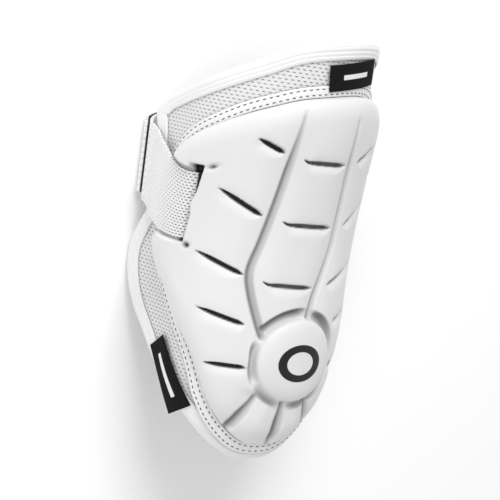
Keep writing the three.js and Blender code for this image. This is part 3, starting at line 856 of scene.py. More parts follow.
@dataclass(frozen=True)
class FoamSkin:
    """The moulded skin of the pad, with painted shade down in its grooves, and a plain printed
    ring.
    """

    light: Colour = grey(0.73, 0.002)
    shade: Colour = grey(0.69, 0.002)
    # Near black painted shade for the groove floors, the slits, the slots and the marks.
    painted_shade: Colour = grey(0.008)
    ring: Colour = grey(0.006)
    ring_middle: tuple[float, float] = (5.2, 62.0)
    ring_outer: float = 11.0
    ring_inner: float = 6.6

    def build(self, name: str) -> bpy.types.Material:
        """Builds the material.

        Args:
            name: Its name.

        Returns:
            The material.
        """
        s = Surface(name, roughness=0.46, sheen=0.08, specular=0.4)
        w = s.wiring
        noise = w.group(EFFECTS.get(Effect.GRAIN), Place=s.solid(), Grain_Scale=1400.0,
                        Tone_Scale=14.0)
        tone = w.math("MULTIPLY_ADD", noise.outputs["Tone"], 1.6, -0.3, clamp=True)
        # Painted shade: mixes toward near black wherever the pad's shade attribute says a groove
        # lies in shadow.
        shade_share = w.add("ShaderNodeAttribute", attribute_name=PAINTED_SHADE).outputs["Fac"]
        base = w.mix(shade_share, w.mix(tone, self.shade, self.light), self.painted_shade)
        off = w.add("ShaderNodeVectorMath", operation="DISTANCE")
        w.feed(off.inputs[0], s.map())
        off.inputs[1].default_value = (*self.ring_middle, 0.0)
        radius = off.outputs["Value"]
        outer = w.math("MULTIPLY", w.math("SUBTRACT", self.ring_outer, radius), 4.0, clamp=True)
        inner = w.math("MULTIPLY", w.math("SUBTRACT", radius, self.ring_inner), 4.0, clamp=True)
        printed = w.math("MULTIPLY", outer, inner)
        s.colour(w.mix(printed, base, self.ring))
        fine = s.bump(noise.outputs["Grain"], 0.00006, 0.35)
        s.bump(printed, 0.0003, 0.6, fine)
        return s.material


@dataclass(frozen=True)
class AirMesh:
    """The knit of the liner, with rows of short slanted openings."""

    thread: Colour = grey(0.78, 0.002)
    shade: Colour = grey(0.66, 0.002)
    opening: Colour = grey(0.08)
    row_pitch: float = 2.1
    dash_pitch: float = 3.3

    def build(self, name: str) -> bpy.types.Material:
        """Builds the material.

        Args:
            name: Its name.

        Returns:
            The material.
        """
        s = Surface(name, roughness=0.88, sheen=0.25, specular=0.2)
        w = s.wiring
        place = s.map()
        knit = w.group(EFFECTS.get(Effect.DASHES), Place=place, Row_Pitch=self.row_pitch,
                       Dash_Pitch=self.dash_pitch, Slant=0.6, Dash_Length=0.58,
                       Dash_Width=0.34, Softness=0.14)
        fine = w.group(EFFECTS.get(Effect.DASHES), Place=place, Row_Pitch=0.77,
                       Dash_Pitch=0.9, Slant=0.5, Dash_Length=0.5, Dash_Width=0.4, Softness=0.3)
        noise = w.group(EFFECTS.get(Effect.GRAIN), Place=s.solid(), Grain_Scale=700.0,
                        Tone_Scale=40.0)
        yarn = w.mix(fine.outputs["Threads"], self.shade, self.thread)
        patchy = w.math("MULTIPLY_ADD", noise.outputs["Tone"], 0.7, 0.55, clamp=True)
        s.colour(w.mix(w.math("MULTIPLY", knit.outputs["Dashes"], patchy), yarn, self.opening))
        under = s.bump(fine.outputs["Threads"], 0.00015, 0.6)
        s.bump(w.math("SUBTRACT", 1.0, knit.outputs["Dashes"]), 0.0005, 0.8, under)
        return s.material


@dataclass(frozen=True)
class RibbedKnit:
    """The stretch knit of the bindings and tapes, with painted shadow on a tape's outer side
    wall.
    """

    light: Colour = grey(0.86, 0.002)
    shade: Colour = grey(0.72, 0.002)
    rib_pitch: float = 0.8
    # Near black painted shadow for a tape's outer side wall, standing for the gap under its edge.
    side: Colour = grey(0.10)
    shadow_wall_from: float = 1000.0

    def build(self, name: str) -> bpy.types.Material:
        """Builds the material.

        Args:
            name: Its name.

        Returns:
            The material.
        """
        s = Surface(name, roughness=0.82, sheen=0.3, specular=0.2)
        w = s.wiring
        place = s.map()
        ribs = w.group(EFFECTS.get(Effect.RIBS), Place=place, Pitch=self.rib_pitch)
        knit = w.group(EFFECTS.get(Effect.DASHES), Place=place, Row_Pitch=self.rib_pitch,
                       Dash_Pitch=0.9, Slant=0.8, Dash_Length=0.6, Dash_Width=0.5, Softness=0.3)
        noise = w.group(EFFECTS.get(Effect.GRAIN), Place=s.solid(), Tone_Scale=30.0)
        relief = w.math("MULTIPLY_ADD", ribs.outputs["Height"], 0.6,
                        w.math("MULTIPLY", knit.outputs["Threads"], 0.4))
        tone = w.math("MULTIPLY_ADD", noise.outputs["Tone"], 0.5, w.math("MULTIPLY", relief, 0.6),
                      clamp=True)
        run = w.add("ShaderNodeSeparateXYZ")
        w.feed(run.inputs[0], place)
        # Painted shadow: the band's outer side wall, past the set distance across, turns near
        # black.
        wall = w.fade(run.outputs["Y"], self.shadow_wall_from, self.shadow_wall_from + 0.3, 0.0, 1.0)
        s.colour(w.mix(wall, w.mix(tone, self.shade, self.light), self.side))
        s.bump(relief, 0.00012, 0.5)
        return s.material


@dataclass(frozen=True)
class WovenElastic:
    """The strap's weave, with rows of small slanted dark gaps along its run, and painted shade at
    its root in the slot.
    """

    yarn: Colour = grey(0.88, 0.003)
    shade: Colour = grey(0.74, 0.003)
    gap: Colour = grey(0.015)
    # Near black painted shade where the strap comes out of its slot.
    root: Colour = grey(0.02)
    row_pitch: float = 1.65
    dash_pitch: float = 2.2
    slot_shade_end: float = 56.0
    slot_shade_slant: float = 0.05
    # The dark gaps grow fainter over this stretch of the run.
    gap_fade_from: float = 58.0
    gap_fade_to: float = 84.0

    def build(self, name: str) -> bpy.types.Material:
        """Builds the material.

        Args:
            name: Its name.

        Returns:
            The material.
        """
        s = Surface(name, roughness=0.78, sheen=0.25, specular=0.25)
        w = s.wiring
        place = s.map()
        weave = w.group(EFFECTS.get(Effect.DASHES), Place=place, Row_Pitch=self.row_pitch,
                        Dash_Pitch=self.dash_pitch, Slant=0.3, Dash_Length=0.72,
                        Dash_Width=0.46, Softness=0.14)
        run = w.add("ShaderNodeSeparateXYZ")
        w.feed(run.inputs[0], place)
        # The gaps are darkest near the slot and fainter further along the run.
        fade = w.fade(run.outputs["X"], self.gap_fade_from, self.gap_fade_to, 1.0, 0.35)
        # Painted shade: near black up to a slanted line just past where the strap leaves its
        # slot.
        level = w.math("MULTIPLY_ADD", run.outputs["Y"], -self.slot_shade_slant, run.outputs["X"])
        root = w.fade(level, self.slot_shade_end - 0.6, self.slot_shade_end, 1.0, 0.0)
        noise = w.group(EFFECTS.get(Effect.GRAIN), Place=s.solid(), Grain_Scale=900.0,
                        Tone_Scale=60.0)
        yarn = w.mix(weave.outputs["Threads"], self.shade, self.yarn)
        patchy = w.math("MULTIPLY_ADD", noise.outputs["Tone"], 0.6, 0.65, clamp=True)
        shown = w.math("MULTIPLY", w.math("MULTIPLY", weave.outputs["Dashes"], patchy), fade)
        s.colour(w.mix(root, w.mix(shown, yarn, self.gap), self.root))
        under = s.bump(weave.outputs["Threads"], 0.0004, 0.7)
        s.bump(w.math("SUBTRACT", 1.0, weave.outputs["Dashes"]), 0.0003, 0.6, under)
        return s.material


@dataclass(frozen=True)
class HookTape:
    """The dense dark hooks of the fastener."""

    dark: Colour = grey(0.012)
    light: Colour = grey(0.05)

    def build(self, name: str) -> bpy.types.Material:
        """Builds the material.

        Args:
            name: Its name.

        Returns:
            The material.
        """
        s = Surface(name, roughness=0.9, sheen=0.2, specular=0.3)
        w = s.wiring
        hooks = w.group(EFFECTS.get(Effect.DASHES), Place=s.map(), Row_Pitch=1.3,
                        Dash_Pitch=1.2, Slant=0.3, Dash_Length=0.5, Dash_Width=0.5,
                        Softness=0.2)
        noise = w.group(EFFECTS.get(Effect.GRAIN), Place=s.solid(), Grain_Scale=2500.0)
        s.colour(w.mix(hooks.outputs["Dashes"], self.dark, self.light))
        under = s.bump(noise.outputs["Grain"], 0.0003, 0.5)
        s.bump(hooks.outputs["Dashes"], 0.0005, 0.8, under)
        return s.material


class LabelBar(NamedTuple):
    """The plain woven bar in the middle of a label."""

    length: float
    height: float


@dataclass(frozen=True)
class WovenLabel:
    """A dark woven label with a plain light bar."""

    bar: LabelBar
    ground: Colour = grey(0.003)
    thread: Colour = grey(0.010)
    mark: Colour = grey(0.78)

    def build(self, name: str) -> bpy.types.Material:
        """Builds the material.

        Args:
            name: Its name.

        Returns:
            The material.
        """
        s = Surface(name, roughness=0.8, specular=0.15)
        w = s.wiring
        place = s.map()
        weave = w.group(EFFECTS.get(Effect.DASHES), Place=place, Row_Pitch=0.45,
                        Dash_Pitch=0.7, Slant=0.0, Dash_Length=0.6, Dash_Width=0.6,
                        Softness=0.3)
        mask = w.group(EFFECTS.get(Effect.BAR), Place=place, Length=self.bar.length,
                       Height=self.bar.height)
        cloth = w.mix(weave.outputs["Threads"], self.ground, self.thread)
        s.colour(w.mix(mask.outputs["Inside"], cloth, self.mark))
        s.bump(weave.outputs["Threads"], 0.0001, 0.6)
        return s.material


@dataclass(frozen=True)
class Thread:
    """Sewing thread."""

    colour: Colour = grey(0.02)

    def build(self, name: str) -> bpy.types.Material:
        """Builds the material.

        Args:
            name: Its name.

        Returns:
            The material.
        """
        s = Surface(name, roughness=0.7, sheen=0.2)
        w = s.wiring
        noise = w.group(EFFECTS.get(Effect.GRAIN), Place=s.solid(), Grain_Scale=2500.0)
        s.colour(w.mix(noise.outputs["Grain"], self.colour, brighter(self.colour, 1.8)))
        s.bump(noise.outputs["Grain"], 0.0001, 0.5)
        return s.material


@dataclass(frozen=True)
class Paper:
    """The pale floor."""

    colour: Colour = grey(0.96)

    def build(self, name: str) -> bpy.types.Material:
        """Builds the material.

        Args:
            name: Its name.

        Returns:
            The material.
        """
        s = Surface(name, roughness=0.9, specular=0.1)
        noise = s.wiring.group(EFFECTS.get(Effect.GRAIN), Place=s.solid(), Tone_Scale=2.0)
        s.colour(s.wiring.mix(noise.outputs["Tone"], self.colour, brighter(self.colour, 1.01)))
        return s.material


def dress(obj: bpy.types.Object, material: bpy.types.Material, slot: str, *nodes: str) -> None:
    """Gives a piece its finish, its body and the solids that it stands for.

    Args:
        obj: The piece.
        material: Its material.
        slot: The record's slot for its finish, whose name is only logged here.
        nodes: The CAD nodes that it replaces.
    """
    obj.data.materials.clear()
    obj.data.materials.append(material)
    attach(obj, "root")
    if nodes:
        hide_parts(*nodes)
    LOG.info("%s: %d faces, slot %s", obj.name, len(obj.data.polygons), slot)


@dataclass
class StrapPath:
    """The strap's way from its slot, down the side and under the arm to the middle."""

    shell: Shell
    base: float
    place: float = 142.5
    climb: float = 29.0
    width: float = 38.0
    thickness: float = 1.8
    hook_thickness: float = 1.2
    gap: float = 0.45
    slot_turn: float = 0.67
    slot_width: float = 9.0
    slot_slant: float = 3.0
    slot_ease: float = 1.6
    recess_floor: float = 3.5
    clearance: float = 1.5
    fall_turn: float = 1.246
    fall: float = 11.0
    rise_from: float = 2.0
    level_past: float = 14.0
    root: float = 4.0
    lap_step: float = 20.0
    hook_share: float = 0.375
    lap_parts: int = 5
    cover: float = 1.0
    bend_width: float = 12.0
    bend_height: float = 6.0

    def __post_init__(self) -> None:
        """Works out the stretches of the way at the strap's own place."""
        self.on_pad = self.base + self.recess_floor + self.gap
        self.on_side = self.base + self.cover + self.gap
        self.stack = 2 * self.thickness + self.hook_thickness + 2 * self.gap
        self.back = self.stack - self.shell.shift[2]
        self.slot_arc = float(self.shell.arc_of(np.array(self.place), np.array(self.slot_turn)))
        side, _, outside = self.stretches(np.array(self.place))
        self.side = float(side)
        self.bend = (self.bend_width + self.bend_height) * 0.85
        self.total = self.side + self.bend + float(outside) - self.bend_width

    def stretches(self, y: np.ndarray) -> tuple[np.ndarray, np.ndarray, np.ndarray]:
        """Measures the side of the way at y.

        Args:
            y: Distances along the arm.

        Returns:
            The way to the bend, the drop below the arch, and the bend's place across.
        """
        width, _, centre = self.shell.section(y)
        drop = centre - self.back - self.bend_height
        outside = width + self.shell.splay * (drop / self.shell.side_depth) ** 2 + self.on_side
        return self.shell.quarter(y) + drop, drop, outside

    def lift(self, run: np.ndarray) -> np.ndarray:
        """Gives the height of the strap's inner face off the shell.

        Args:
            run: Distances from the front line.

        Returns:
            Heights.
        """
        rise = smooth_step(run, self.slot_arc + self.rise_from,
                           self.slot_arc + self.slot_width)
        start = self.base + (self.on_pad - self.base) * rise
        edge = float(self.shell.arc_of(np.array(self.place), np.array(self.fall_turn)))
        return start + (self.on_side - start) * smooth_step(run, edge, edge + self.fall)

    def middle(self, run: np.ndarray) -> np.ndarray:
        """Gives the y of the strap's middle at distances from the front line."""
        end = self.side + self.bend + self.level_past
        return self.place + self.climb * smooth_step(run, self.slot_arc + self.slot_width, end)

    def point(self, y: np.ndarray, run: np.ndarray, lift: np.ndarray) -> np.ndarray:
        """Finds points of the way in space, on the side of positive X.

        Args:
            y: Distances along the arm.
            run: Distances from the front line at the strap's own place.
            lift: Heights off the strap's inner face.

        Returns:
            Points in metres.
        """
        y, run, lift = np.broadcast_arrays(np.asarray(y, float), run, lift)
        side, drop, outside = self.stretches(y)
        rest = (run - self.slot_arc) / (self.side - self.slot_arc)
        arc = run + (side - self.side) * np.maximum(0, rest)
        on_side = self.shell.point(y, arc, self.lift(run) + lift)
        lean = 2 * self.shell.splay * drop / self.shell.side_depth ** 2
        t = np.clip((run - self.side) / self.bend, 0, 1)
        high = self.back + self.bend_height
        xs = (outside, outside - lean * self.bend_height * 0.55,
              outside - self.bend_width * 0.4, outside - self.bend_width)
        zs = (high, self.back + self.bend_height * 0.45, self.back, self.back)
        x, z, dx, dz = (f(p, t) for p, f in ((xs, bezier), (zs, bezier), (xs, bezier_slope),
                                             (zs, bezier_slope)))
        size = np.hypot(dx, dz)
        past = np.maximum(0, run - self.side - self.bend) / (self.total - self.side - self.bend)
        x = x - past * (outside - self.bend_width) - dz / size * lift
        z = z + dx / size * lift
        below = self.shell.to_row(np.stack([x, y, z], -1))
        return np.where((run > self.side)[..., None], below, on_side)

    def strip(self, runs: np.ndarray, shifts: np.ndarray, lift: Callable, mirror: bool,
              ) -> np.ndarray:
        """Lays out one face of a stretch of strap.

        Args:
            runs: Distances run, more than the total on the far side.
            shifts: Distances across from the strap's middle, a row for each run.
            lift: Gives the height at a distance run.
            mirror: Whether it starts on the side of negative X.

        Returns:
            A grid of points in metres.
        """
        near = np.minimum(runs, 2 * self.total - runs)
        slope = self.middle(near + 0.5) - self.middle(near - 0.5)
        y = self.middle(near)[:, None] + shifts * np.hypot(1, slope)[:, None]
        points = self.point(y, near[:, None], lift(runs)[:, None])
        middle_x = self.shell.shift[0] * METRES
        flip = (runs > self.total) ^ mirror
        points[flip, :, 0] = 2 * middle_x - points[flip, :, 0]
        return points


def bezier(p: Sequence[np.ndarray], t: np.ndarray) -> np.ndarray:
    """Returns a cubic Bezier curve's value at t."""
    return ((1 - t) ** 3 * p[0] + 3 * t * (1 - t) ** 2 * p[1] + 3 * t * t * (1 - t) * p[2]
            + t ** 3 * p[3])


def bezier_slope(p: Sequence[np.ndarray], t: np.ndarray) -> np.ndarray:
    """Returns a cubic Bezier curve's slope at t."""
    return (3 * (1 - t) ** 2 * (p[1] - p[0]) + 6 * t * (1 - t) * (p[2] - p[1])
            + 3 * t * t * (p[3] - p[2]))


@dataclass
class Relief:
    """What is pressed into the pad: the depth, and the painted shade of the groove floors from 0
    to 1.
    """

    depth: np.ndarray
    tone: np.ndarray

    def press(self, depth: np.ndarray, tone: np.ndarray) -> None:
        """Adds a groove where it is deeper, or where its painted shade is darker, than what is
        there.
        """
        self.depth = np.maximum(self.depth, depth)
        self.tone = np.maximum(self.tone, tone)


def trough(off: np.ndarray, half: np.ndarray, wall: float) -> np.ndarray:
    """Shapes a groove's section, 1 on its floor and 0 outside it.

    Args:
        off: Distances from the groove's line.
        half: Its half width, halfway up its walls.
        wall: How wide each wall is.

    Returns:
        The share of the full depth.
    """
    return 1 - smooth_step((np.abs(off) - half) / wall, -0.5, 0.5)


def hump(off: np.ndarray, reach: float) -> np.ndarray:
    """Returns a bell of height 1 that fades over the reach."""
    return np.exp(-(off / reach) ** 2)


@dataclass
class Grooves:
    """The long grooves, the slits between the plates and the grooves below the cap."""

    shell: Shell
    long_half: float = 1.7
    long_wall: float = 2.0
    long_depth: float = 3.2
    # The tone fields set how much painted shade each kind of groove floor takes.
    long_painted_shade: float = 0.84
    shoulder: float = 6.5
    shoulder_depth: float = 1.8
    slit_width: float = 2.5
    slit_depth: float = 4.6
    slit_wall: float = 0.8
    slit_shoulder: float = 3.6
    slit_shoulder_depth: float = 1.8
    side_painted_shade: float = 1.0
    middle_painted_shade: float = 0.80
    curl: float = 2.4
    curl_length: float = 0.20
    radial_half: float = 2.6
    radial_wall: float = 2.6
    radial_depth: float = 3.2
    radial_painted_shade: float = 0.80

    def straight(self, groove: Groove, y: np.ndarray, arc: np.ndarray,
                 ) -> tuple[np.ndarray, np.ndarray]:
        """Measures places against a straight groove.

        Args:
            groove: The groove.
            y: Distances along the arm.
            arc: Distances round the shell.

        Returns:
            The share of its length, and the distance from its line, above 0 toward the rim.
        """
        length = self.shell.length
        ends = [(float(self.shell.arc_of(np.array(at * length), np.array(turn))), at * length)
                for at, turn in ((groove.outer_at, groove.outer_turn),
                                 (groove.inner_at, groove.inner_turn))]
        start, end = np.array(ends)
        way = end - start
        size = np.hypot(*way)
        along = ((arc - start[0]) * way[0] + (y - start[1]) * way[1]) / size ** 2
        off = ((y - start[1]) * way[0] - (arc - start[0]) * way[1]) / size
        return along, off * np.sign(way[0])

    def slit(self, relief: Relief, groove: Groove, y: np.ndarray, arc: np.ndarray,
             tone: float, curl: float) -> None:
        """Cuts a slit, pointed at its outer end, with a crisp lip and a sloping lower side.

        Args:
            relief: The relief that it is pressed into.
            groove: The slit's line.
            y: Distances along the arm.
            arc: Distances round the shell.
            tone: How dark the painted shade on its floor is.
            curl: How far its outer end turns up toward the rim.
        """
        along, off = self.straight(groove, y, arc)
        t = np.clip(along, 0, 1)
        off = off - curl * np.clip(1 - t / self.curl_length, 0, 1) ** 2
        point = smooth_step(along, -0.04, 0.42) ** 0.7
        leaf = point * (1 - smooth_step(along, 0.84, 1.05))
        half = self.slit_width / 2 * leaf
        floor = trough(off, half, self.slit_wall) * smooth_step(leaf, 0.02, 0.35)
        below = np.where(off < 0, 1.0, 0.35)
        ends = smooth_step(along, -0.05, 0.3) * (1 - smooth_step(along, 0.9, 1.1))
        slope = hump(off, self.slit_shoulder) * below * ends
        # The second amount is painted shade on the slit's floor, full for the side slits.
        relief.press(self.slit_depth * floor + self.slit_shoulder_depth * slope * (1 - floor),
                     tone * trough(off, half * 0.96, 0.5) * smooth_step(leaf, 0.05, 0.4))

    def long_line(self, column: str) -> np.ndarray:
        """Follows one of the long grooves from the rim down.

        Args:
            column: Which one, left or right.

        Returns:
            The line's points, the distance round the shell and along the arm.
        """
        rows = tuple(sorted(LONG_GROOVES, key=lambda row: row.at))
        at = np.linspace(rows[-1].at, rows[0].at, 800)
        y = at * self.shell.length
        return np.stack([self.shell.arc_of(y, read_table(rows, column, at)), y], -1)

    def valley(self, relief: Relief, line: np.ndarray, y: np.ndarray, arc: np.ndarray) -> None:
        """Presses a long groove, which starts thin near the rim.

        Args:
            relief: The relief that it is pressed into.
            line: The groove's points, the distance round the shell and along the arm.
            y: Distances along the arm.
            arc: Distances round the shell.
        """
        off, found = nearest(line, y, arc)
        left = line[found, 0] - arc
        share = found / (len(line) - 1)
        start = smooth_step(share, -0.01, 0.30)
        ends = smooth_step(share, 0.0, 0.06) * (1 - smooth_step(off, 12, 16))
        floor = trough(off, self.long_half * (0.25 + 0.75 * start), self.long_wall) * ends
        slope = hump(off, self.shoulder) * ends * start
        # The second amount is painted shade on the groove's floor, heavier on its left wall.
        relief.press(self.long_depth * floor * (0.4 + 0.6 * start)
                     + self.shoulder_depth * slope * (1 - floor * 0.5),
                     self.long_painted_shade * floor * (0.5 + 0.5 * start) * self.one_sided(left))

    def radial(self, relief: Relief, groove: Groove, y: np.ndarray, arc: np.ndarray) -> None:
        """Presses a wide groove that fans out from the cap and ends in a point.

        Args:
            relief: The relief that it is pressed into.
            groove: The groove's line.
            y: Distances along the arm.
            arc: Distances round the shell.
        """
        along, off = self.straight(groove, y, arc)
        point = smooth_step(along, -0.08, 0.35)
        narrow = 1 - 0.45 * smooth_step(along, 0.6, 1.0)
        reach = point * (1 - smooth_step(along, 1.05, 1.25))
        half = self.radial_half * point * narrow
        floor = trough(off, half, self.radial_wall) * reach
        slope = hump(off, self.shoulder) * reach
        left = off * np.sign(groove.inner_turn - groove.outer_turn)
        # The second amount is painted shade on the groove's floor, heavier on its left wall.
        relief.press(self.radial_depth * floor + self.shoulder_depth * slope * (1 - floor),
                     self.radial_painted_shade * trough(off, half, 1.6) * reach * self.one_sided(left))

    def one_sided(self, left: np.ndarray) -> np.ndarray:
        """Lays more painted shade on the left wall of a groove than on its right one, the wall
        that faces away from the light.
        """
        return 0.30 + 0.70 * smooth_step(left, -self.long_half, self.long_half)

    def press(self, relief: Relief, y: np.ndarray, arc: np.ndarray) -> None:
        """Presses every groove.

        Args:
            relief: The relief that they are pressed into.
            y: Distances along the arm.
            arc: Distances round the shell.
        """
        for column in ("left", "right"):
            self.valley(relief, self.long_line(column), y, arc)
        for groove in RADIAL_GROOVES:
            self.radial(relief, groove, y, arc)
        for groove in SIDE_SLITS:
            self.slit(relief, groove, y, arc, self.side_painted_shade, 0.0)
        for groove in MIDDLE_SLITS:
            self.slit(relief, groove, y, arc, self.middle_painted_shade, self.curl)


def nearest(line: np.ndarray, y: np.ndarray, arc: np.ndarray) -> tuple[np.ndarray, np.ndarray]:
    """Finds the nearest point of a line for each place.

    Args:
        line: The line's points, the distance round the shell and along the arm.
        y: Distances along the arm.
        arc: Distances round the shell.

    Returns:
        The distance to the nearest point, and its number.
    """
    tree = KDTree(len(line))
    for i, (a, b) in enumerate(line):
        tree.insert((a, b, 0.0), i)
    tree.balance()
    found = [tree.find((a, b, 0.0)) for a, b in zip(arc.ravel(), y.ravel())]
    return (np.array([f[2] for f in found]).reshape(y.shape),
            np.array([f[1] for f in found]).reshape(y.shape))


@dataclass
class Cap:
    """The oval elbow cap and the groove round it."""

    shell: Shell
    width: float = 40.0
    length: float = 48.0
    place: float = 62.5
    turn: float = 0.082
    rise: float = 3.5
    groove: float = 3.3
    groove_to_rim: float = 3.0
    groove_to_elbow: float = 1.6
    depth: float = 3.6
    # Painted shade in the groove round the cap: darker toward the rim, left out where grooves
    # join in, faded on the right.
    tone: float = 0.50
    painted_shade_to_rim: float = 0.42
    joins: tuple[float, ...] = (152.0, 218.0, 264.0, 82.0)
    join_reach: float = 9.0
    right_fade: float = 0.75
    dome_power: float = 5.0
    dome_round: float = 0.62

    def middle(self) -> float:
        """Returns the distance of the cap's middle round the shell."""
        return float(self.shell.arc_of(np.array(self.place), np.array(self.turn)))

    def shape(self, relief: Relief, y: np.ndarray, arc: np.ndarray,
              ) -> tuple[np.ndarray, np.ndarray]:
        """Presses the groove with its painted shade and shapes the cap.

        Args:
            relief: The relief that the groove is pressed into.
            y: Distances along the arm.
            arc: Distances round the shell.

        Returns:
            The share of each place that belongs to the cap, and the cap's rise there.
        """
        across, along = arc - self.middle(), y - self.place
        radius = np.maximum(np.hypot(across, along), 0.01)
        share = np.maximum(np.hypot(across / (self.width / 2), along / (self.length / 2)), 0.001)
        past = radius * (1 - 1 / share)
        to_rim = along / radius
        width = (self.groove + self.groove_to_rim * np.clip(to_rim, 0, 1)
                 + self.groove_to_elbow * np.clip(-to_rim, 0, 1))
        # Painted shade: the wall shade is left out at the joins and faded on the right, and is
        # darkest on the rim side.
        angle = np.degrees(np.arctan2(along, across))
        join = sum(hump((angle - at + 180) % 360 - 180, self.join_reach) for at in self.joins)
        wall = np.clip(1 - join, 0, 1)
        out = past / width
        edge = 1 - smooth_step(out, 0.62, 1.12)
        shown = 1 - self.right_fade * np.clip(across / radius, 0, 1) ** 2
        tone = (self.tone + self.painted_shade_to_rim * np.clip(to_rim, 0, 1)) * wall * shown
        relief.press(self.depth * edge * (0.45 + 0.55 * wall),
                     tone * smooth_step(out, -0.1, 0.85) * (1 - smooth_step(out, 0.95, 1.15)))
        dome = np.clip(1 - np.minimum(share, 1) ** self.dome_power, 0, 1) ** self.dome_round
        return 1 - smooth_step(past, -0.4, 1.2), self.rise * dome


@dataclass
class Pad:
    """The moulded pad with its grooves, its elbow cap and its strap slots."""

    patch: Patch
    strap: StrapPath
    base: float
    thickness: float = 9.0
    edge_thickness: float = 3.5
    edge_round: float = 12.0
    thin_share: float = 0.6
    relief_fade: float = 1.6
    slot_floor: float = 0.3
    channel_from: float = 6.5
    channel_full: float = 8.5
    slot_full: float = 7.5
    slot_to: float = 9.5
    fold_height: float = 1.3
    fold_above: float = 2.0
    fold_reach: float = 4.0
    dimple: tuple[float, float] = (48.6, 166.4)
    hole: tuple[float, float] = (53.4, 120.6)
    rows: int = 320
    columns: int = 290
    stride: int = 10

    def press_marks(self, relief: Relief, y: np.ndarray, run: np.ndarray) -> None:
        """Presses the dimple above each slot and the hole below it, with painted shade down in
        both.

        Args:
            relief: The relief that they are pressed into.
            y: Distances along the arm.
            run: Distances round the shell, above 0 on both sides.
        """
        across, along = run - self.dimple[0], y - self.dimple[1]
        slant = along + 0.35 * across
        # The second amounts are painted shade down in the dimple and the hole.
        relief.press(2.2 * hump(across, 2.4) * hump(slant, 1.5),
                     0.9 * hump(across, 1.8) * hump(slant, 1.1))
        spot = hump(np.hypot(run - self.hole[0], y - self.hole[1]), 1.5)
        relief.press(3.0 * spot, spot)

    def strap_room(self, y: np.ndarray, run: np.ndarray) -> tuple[np.ndarray, np.ndarray]:
        """Finds the channel and the slot that the strap takes.

        Args:
            y: Distances along the arm.
            run: Distances round the shell, above 0 on both sides.

        Returns:
            How much of the channel and of the slot each place is in, from 0 to 1.
        """
        strap = self.strap
        slope = strap.middle(run + 0.5) - strap.middle(run - 0.5)
        half = (strap.width / 2 + strap.clearance) * np.hypot(1, slope)
        off = y - strap.middle(run)
        across = 1 - smooth_step(np.abs(off), half - 0.3, half + 1.4)
        past = smooth_step(run - strap.slot_arc, self.channel_from, self.channel_full)
        share = np.clip((off + half) / (2 * half + 2 * strap.clearance), 0, 1)
        start = strap.slot_arc + strap.slot_slant * (1 - share)
        fold = self.fold_height * hump(y - strap.place - self.fold_above, self.fold_reach)
        inner = smooth_step(run - start - fold - strap.slot_ease, -1.0, 1.0)
        outer = 1 - smooth_step(run - strap.slot_arc, self.slot_full, self.slot_to)
        ends = (smooth_step(off, -half - 1.0, -half + 0.4)
                * (1 - smooth_step(off, half + 2 * strap.clearance - 0.8,
                                   half + 2 * strap.clearance + 0.8)))
        return across * past, ends * inner * outer

    def build(self, material: bpy.types.Material) -> bpy.types.Object:
        """Builds the pad.

        Args:
            material: Its finish.

        Returns:
            The pad's object.
        """
        shell = self.patch.shell
        y, arc = self.patch.grid(self.rows, self.columns)
        inside = np.minimum(nearest(self.patch.outline(0.5), y, arc)[0], self.edge_round)
        bulge = np.sqrt(1 - (1 - inside / self.edge_round) ** 2)
        relief = Relief(np.zeros_like(y), np.zeros_like(y))
        Grooves(shell).press(relief, y, arc)
        share, rise = Cap(shell).shape(relief, y, arc)
        self.press_marks(relief, y, np.abs(arc))
        # The cap's own face takes no painted shade.
        relief.tone *= 1 - share
        height = self.edge_thickness + (self.thickness - self.edge_thickness) * bulge
        carved = height - relief.depth * np.minimum(1, bulge * self.relief_fade)
        body = np.maximum(carved, self.edge_thickness * self.thin_share)
        height = body * (1 - share) + (self.thickness + rise) * share
        channel, slot = self.strap_room(y, np.abs(arc))
        floor = np.minimum(height, self.strap.recess_floor - 0.1)
        height = height * (1 - channel) + floor * channel
        height = height * (1 - slot) + self.slot_floor * slot
        # Painted shade down in the strap's slot.
        relief.press(np.zeros_like(y), smooth_step(slot, 0.3, 0.7))
        over = shell.point(y, arc, self.base + height)
        under = shell.point(y, arc, self.base)
        pad = sheet_mesh("pad_shell", over, under, np.stack([arc, y], -1), self.stride,
                         np.clip(relief.tone, 0, 1), sharp=80.0)
        dress(pad, material, "moulded_pad", "pad")
        return pad


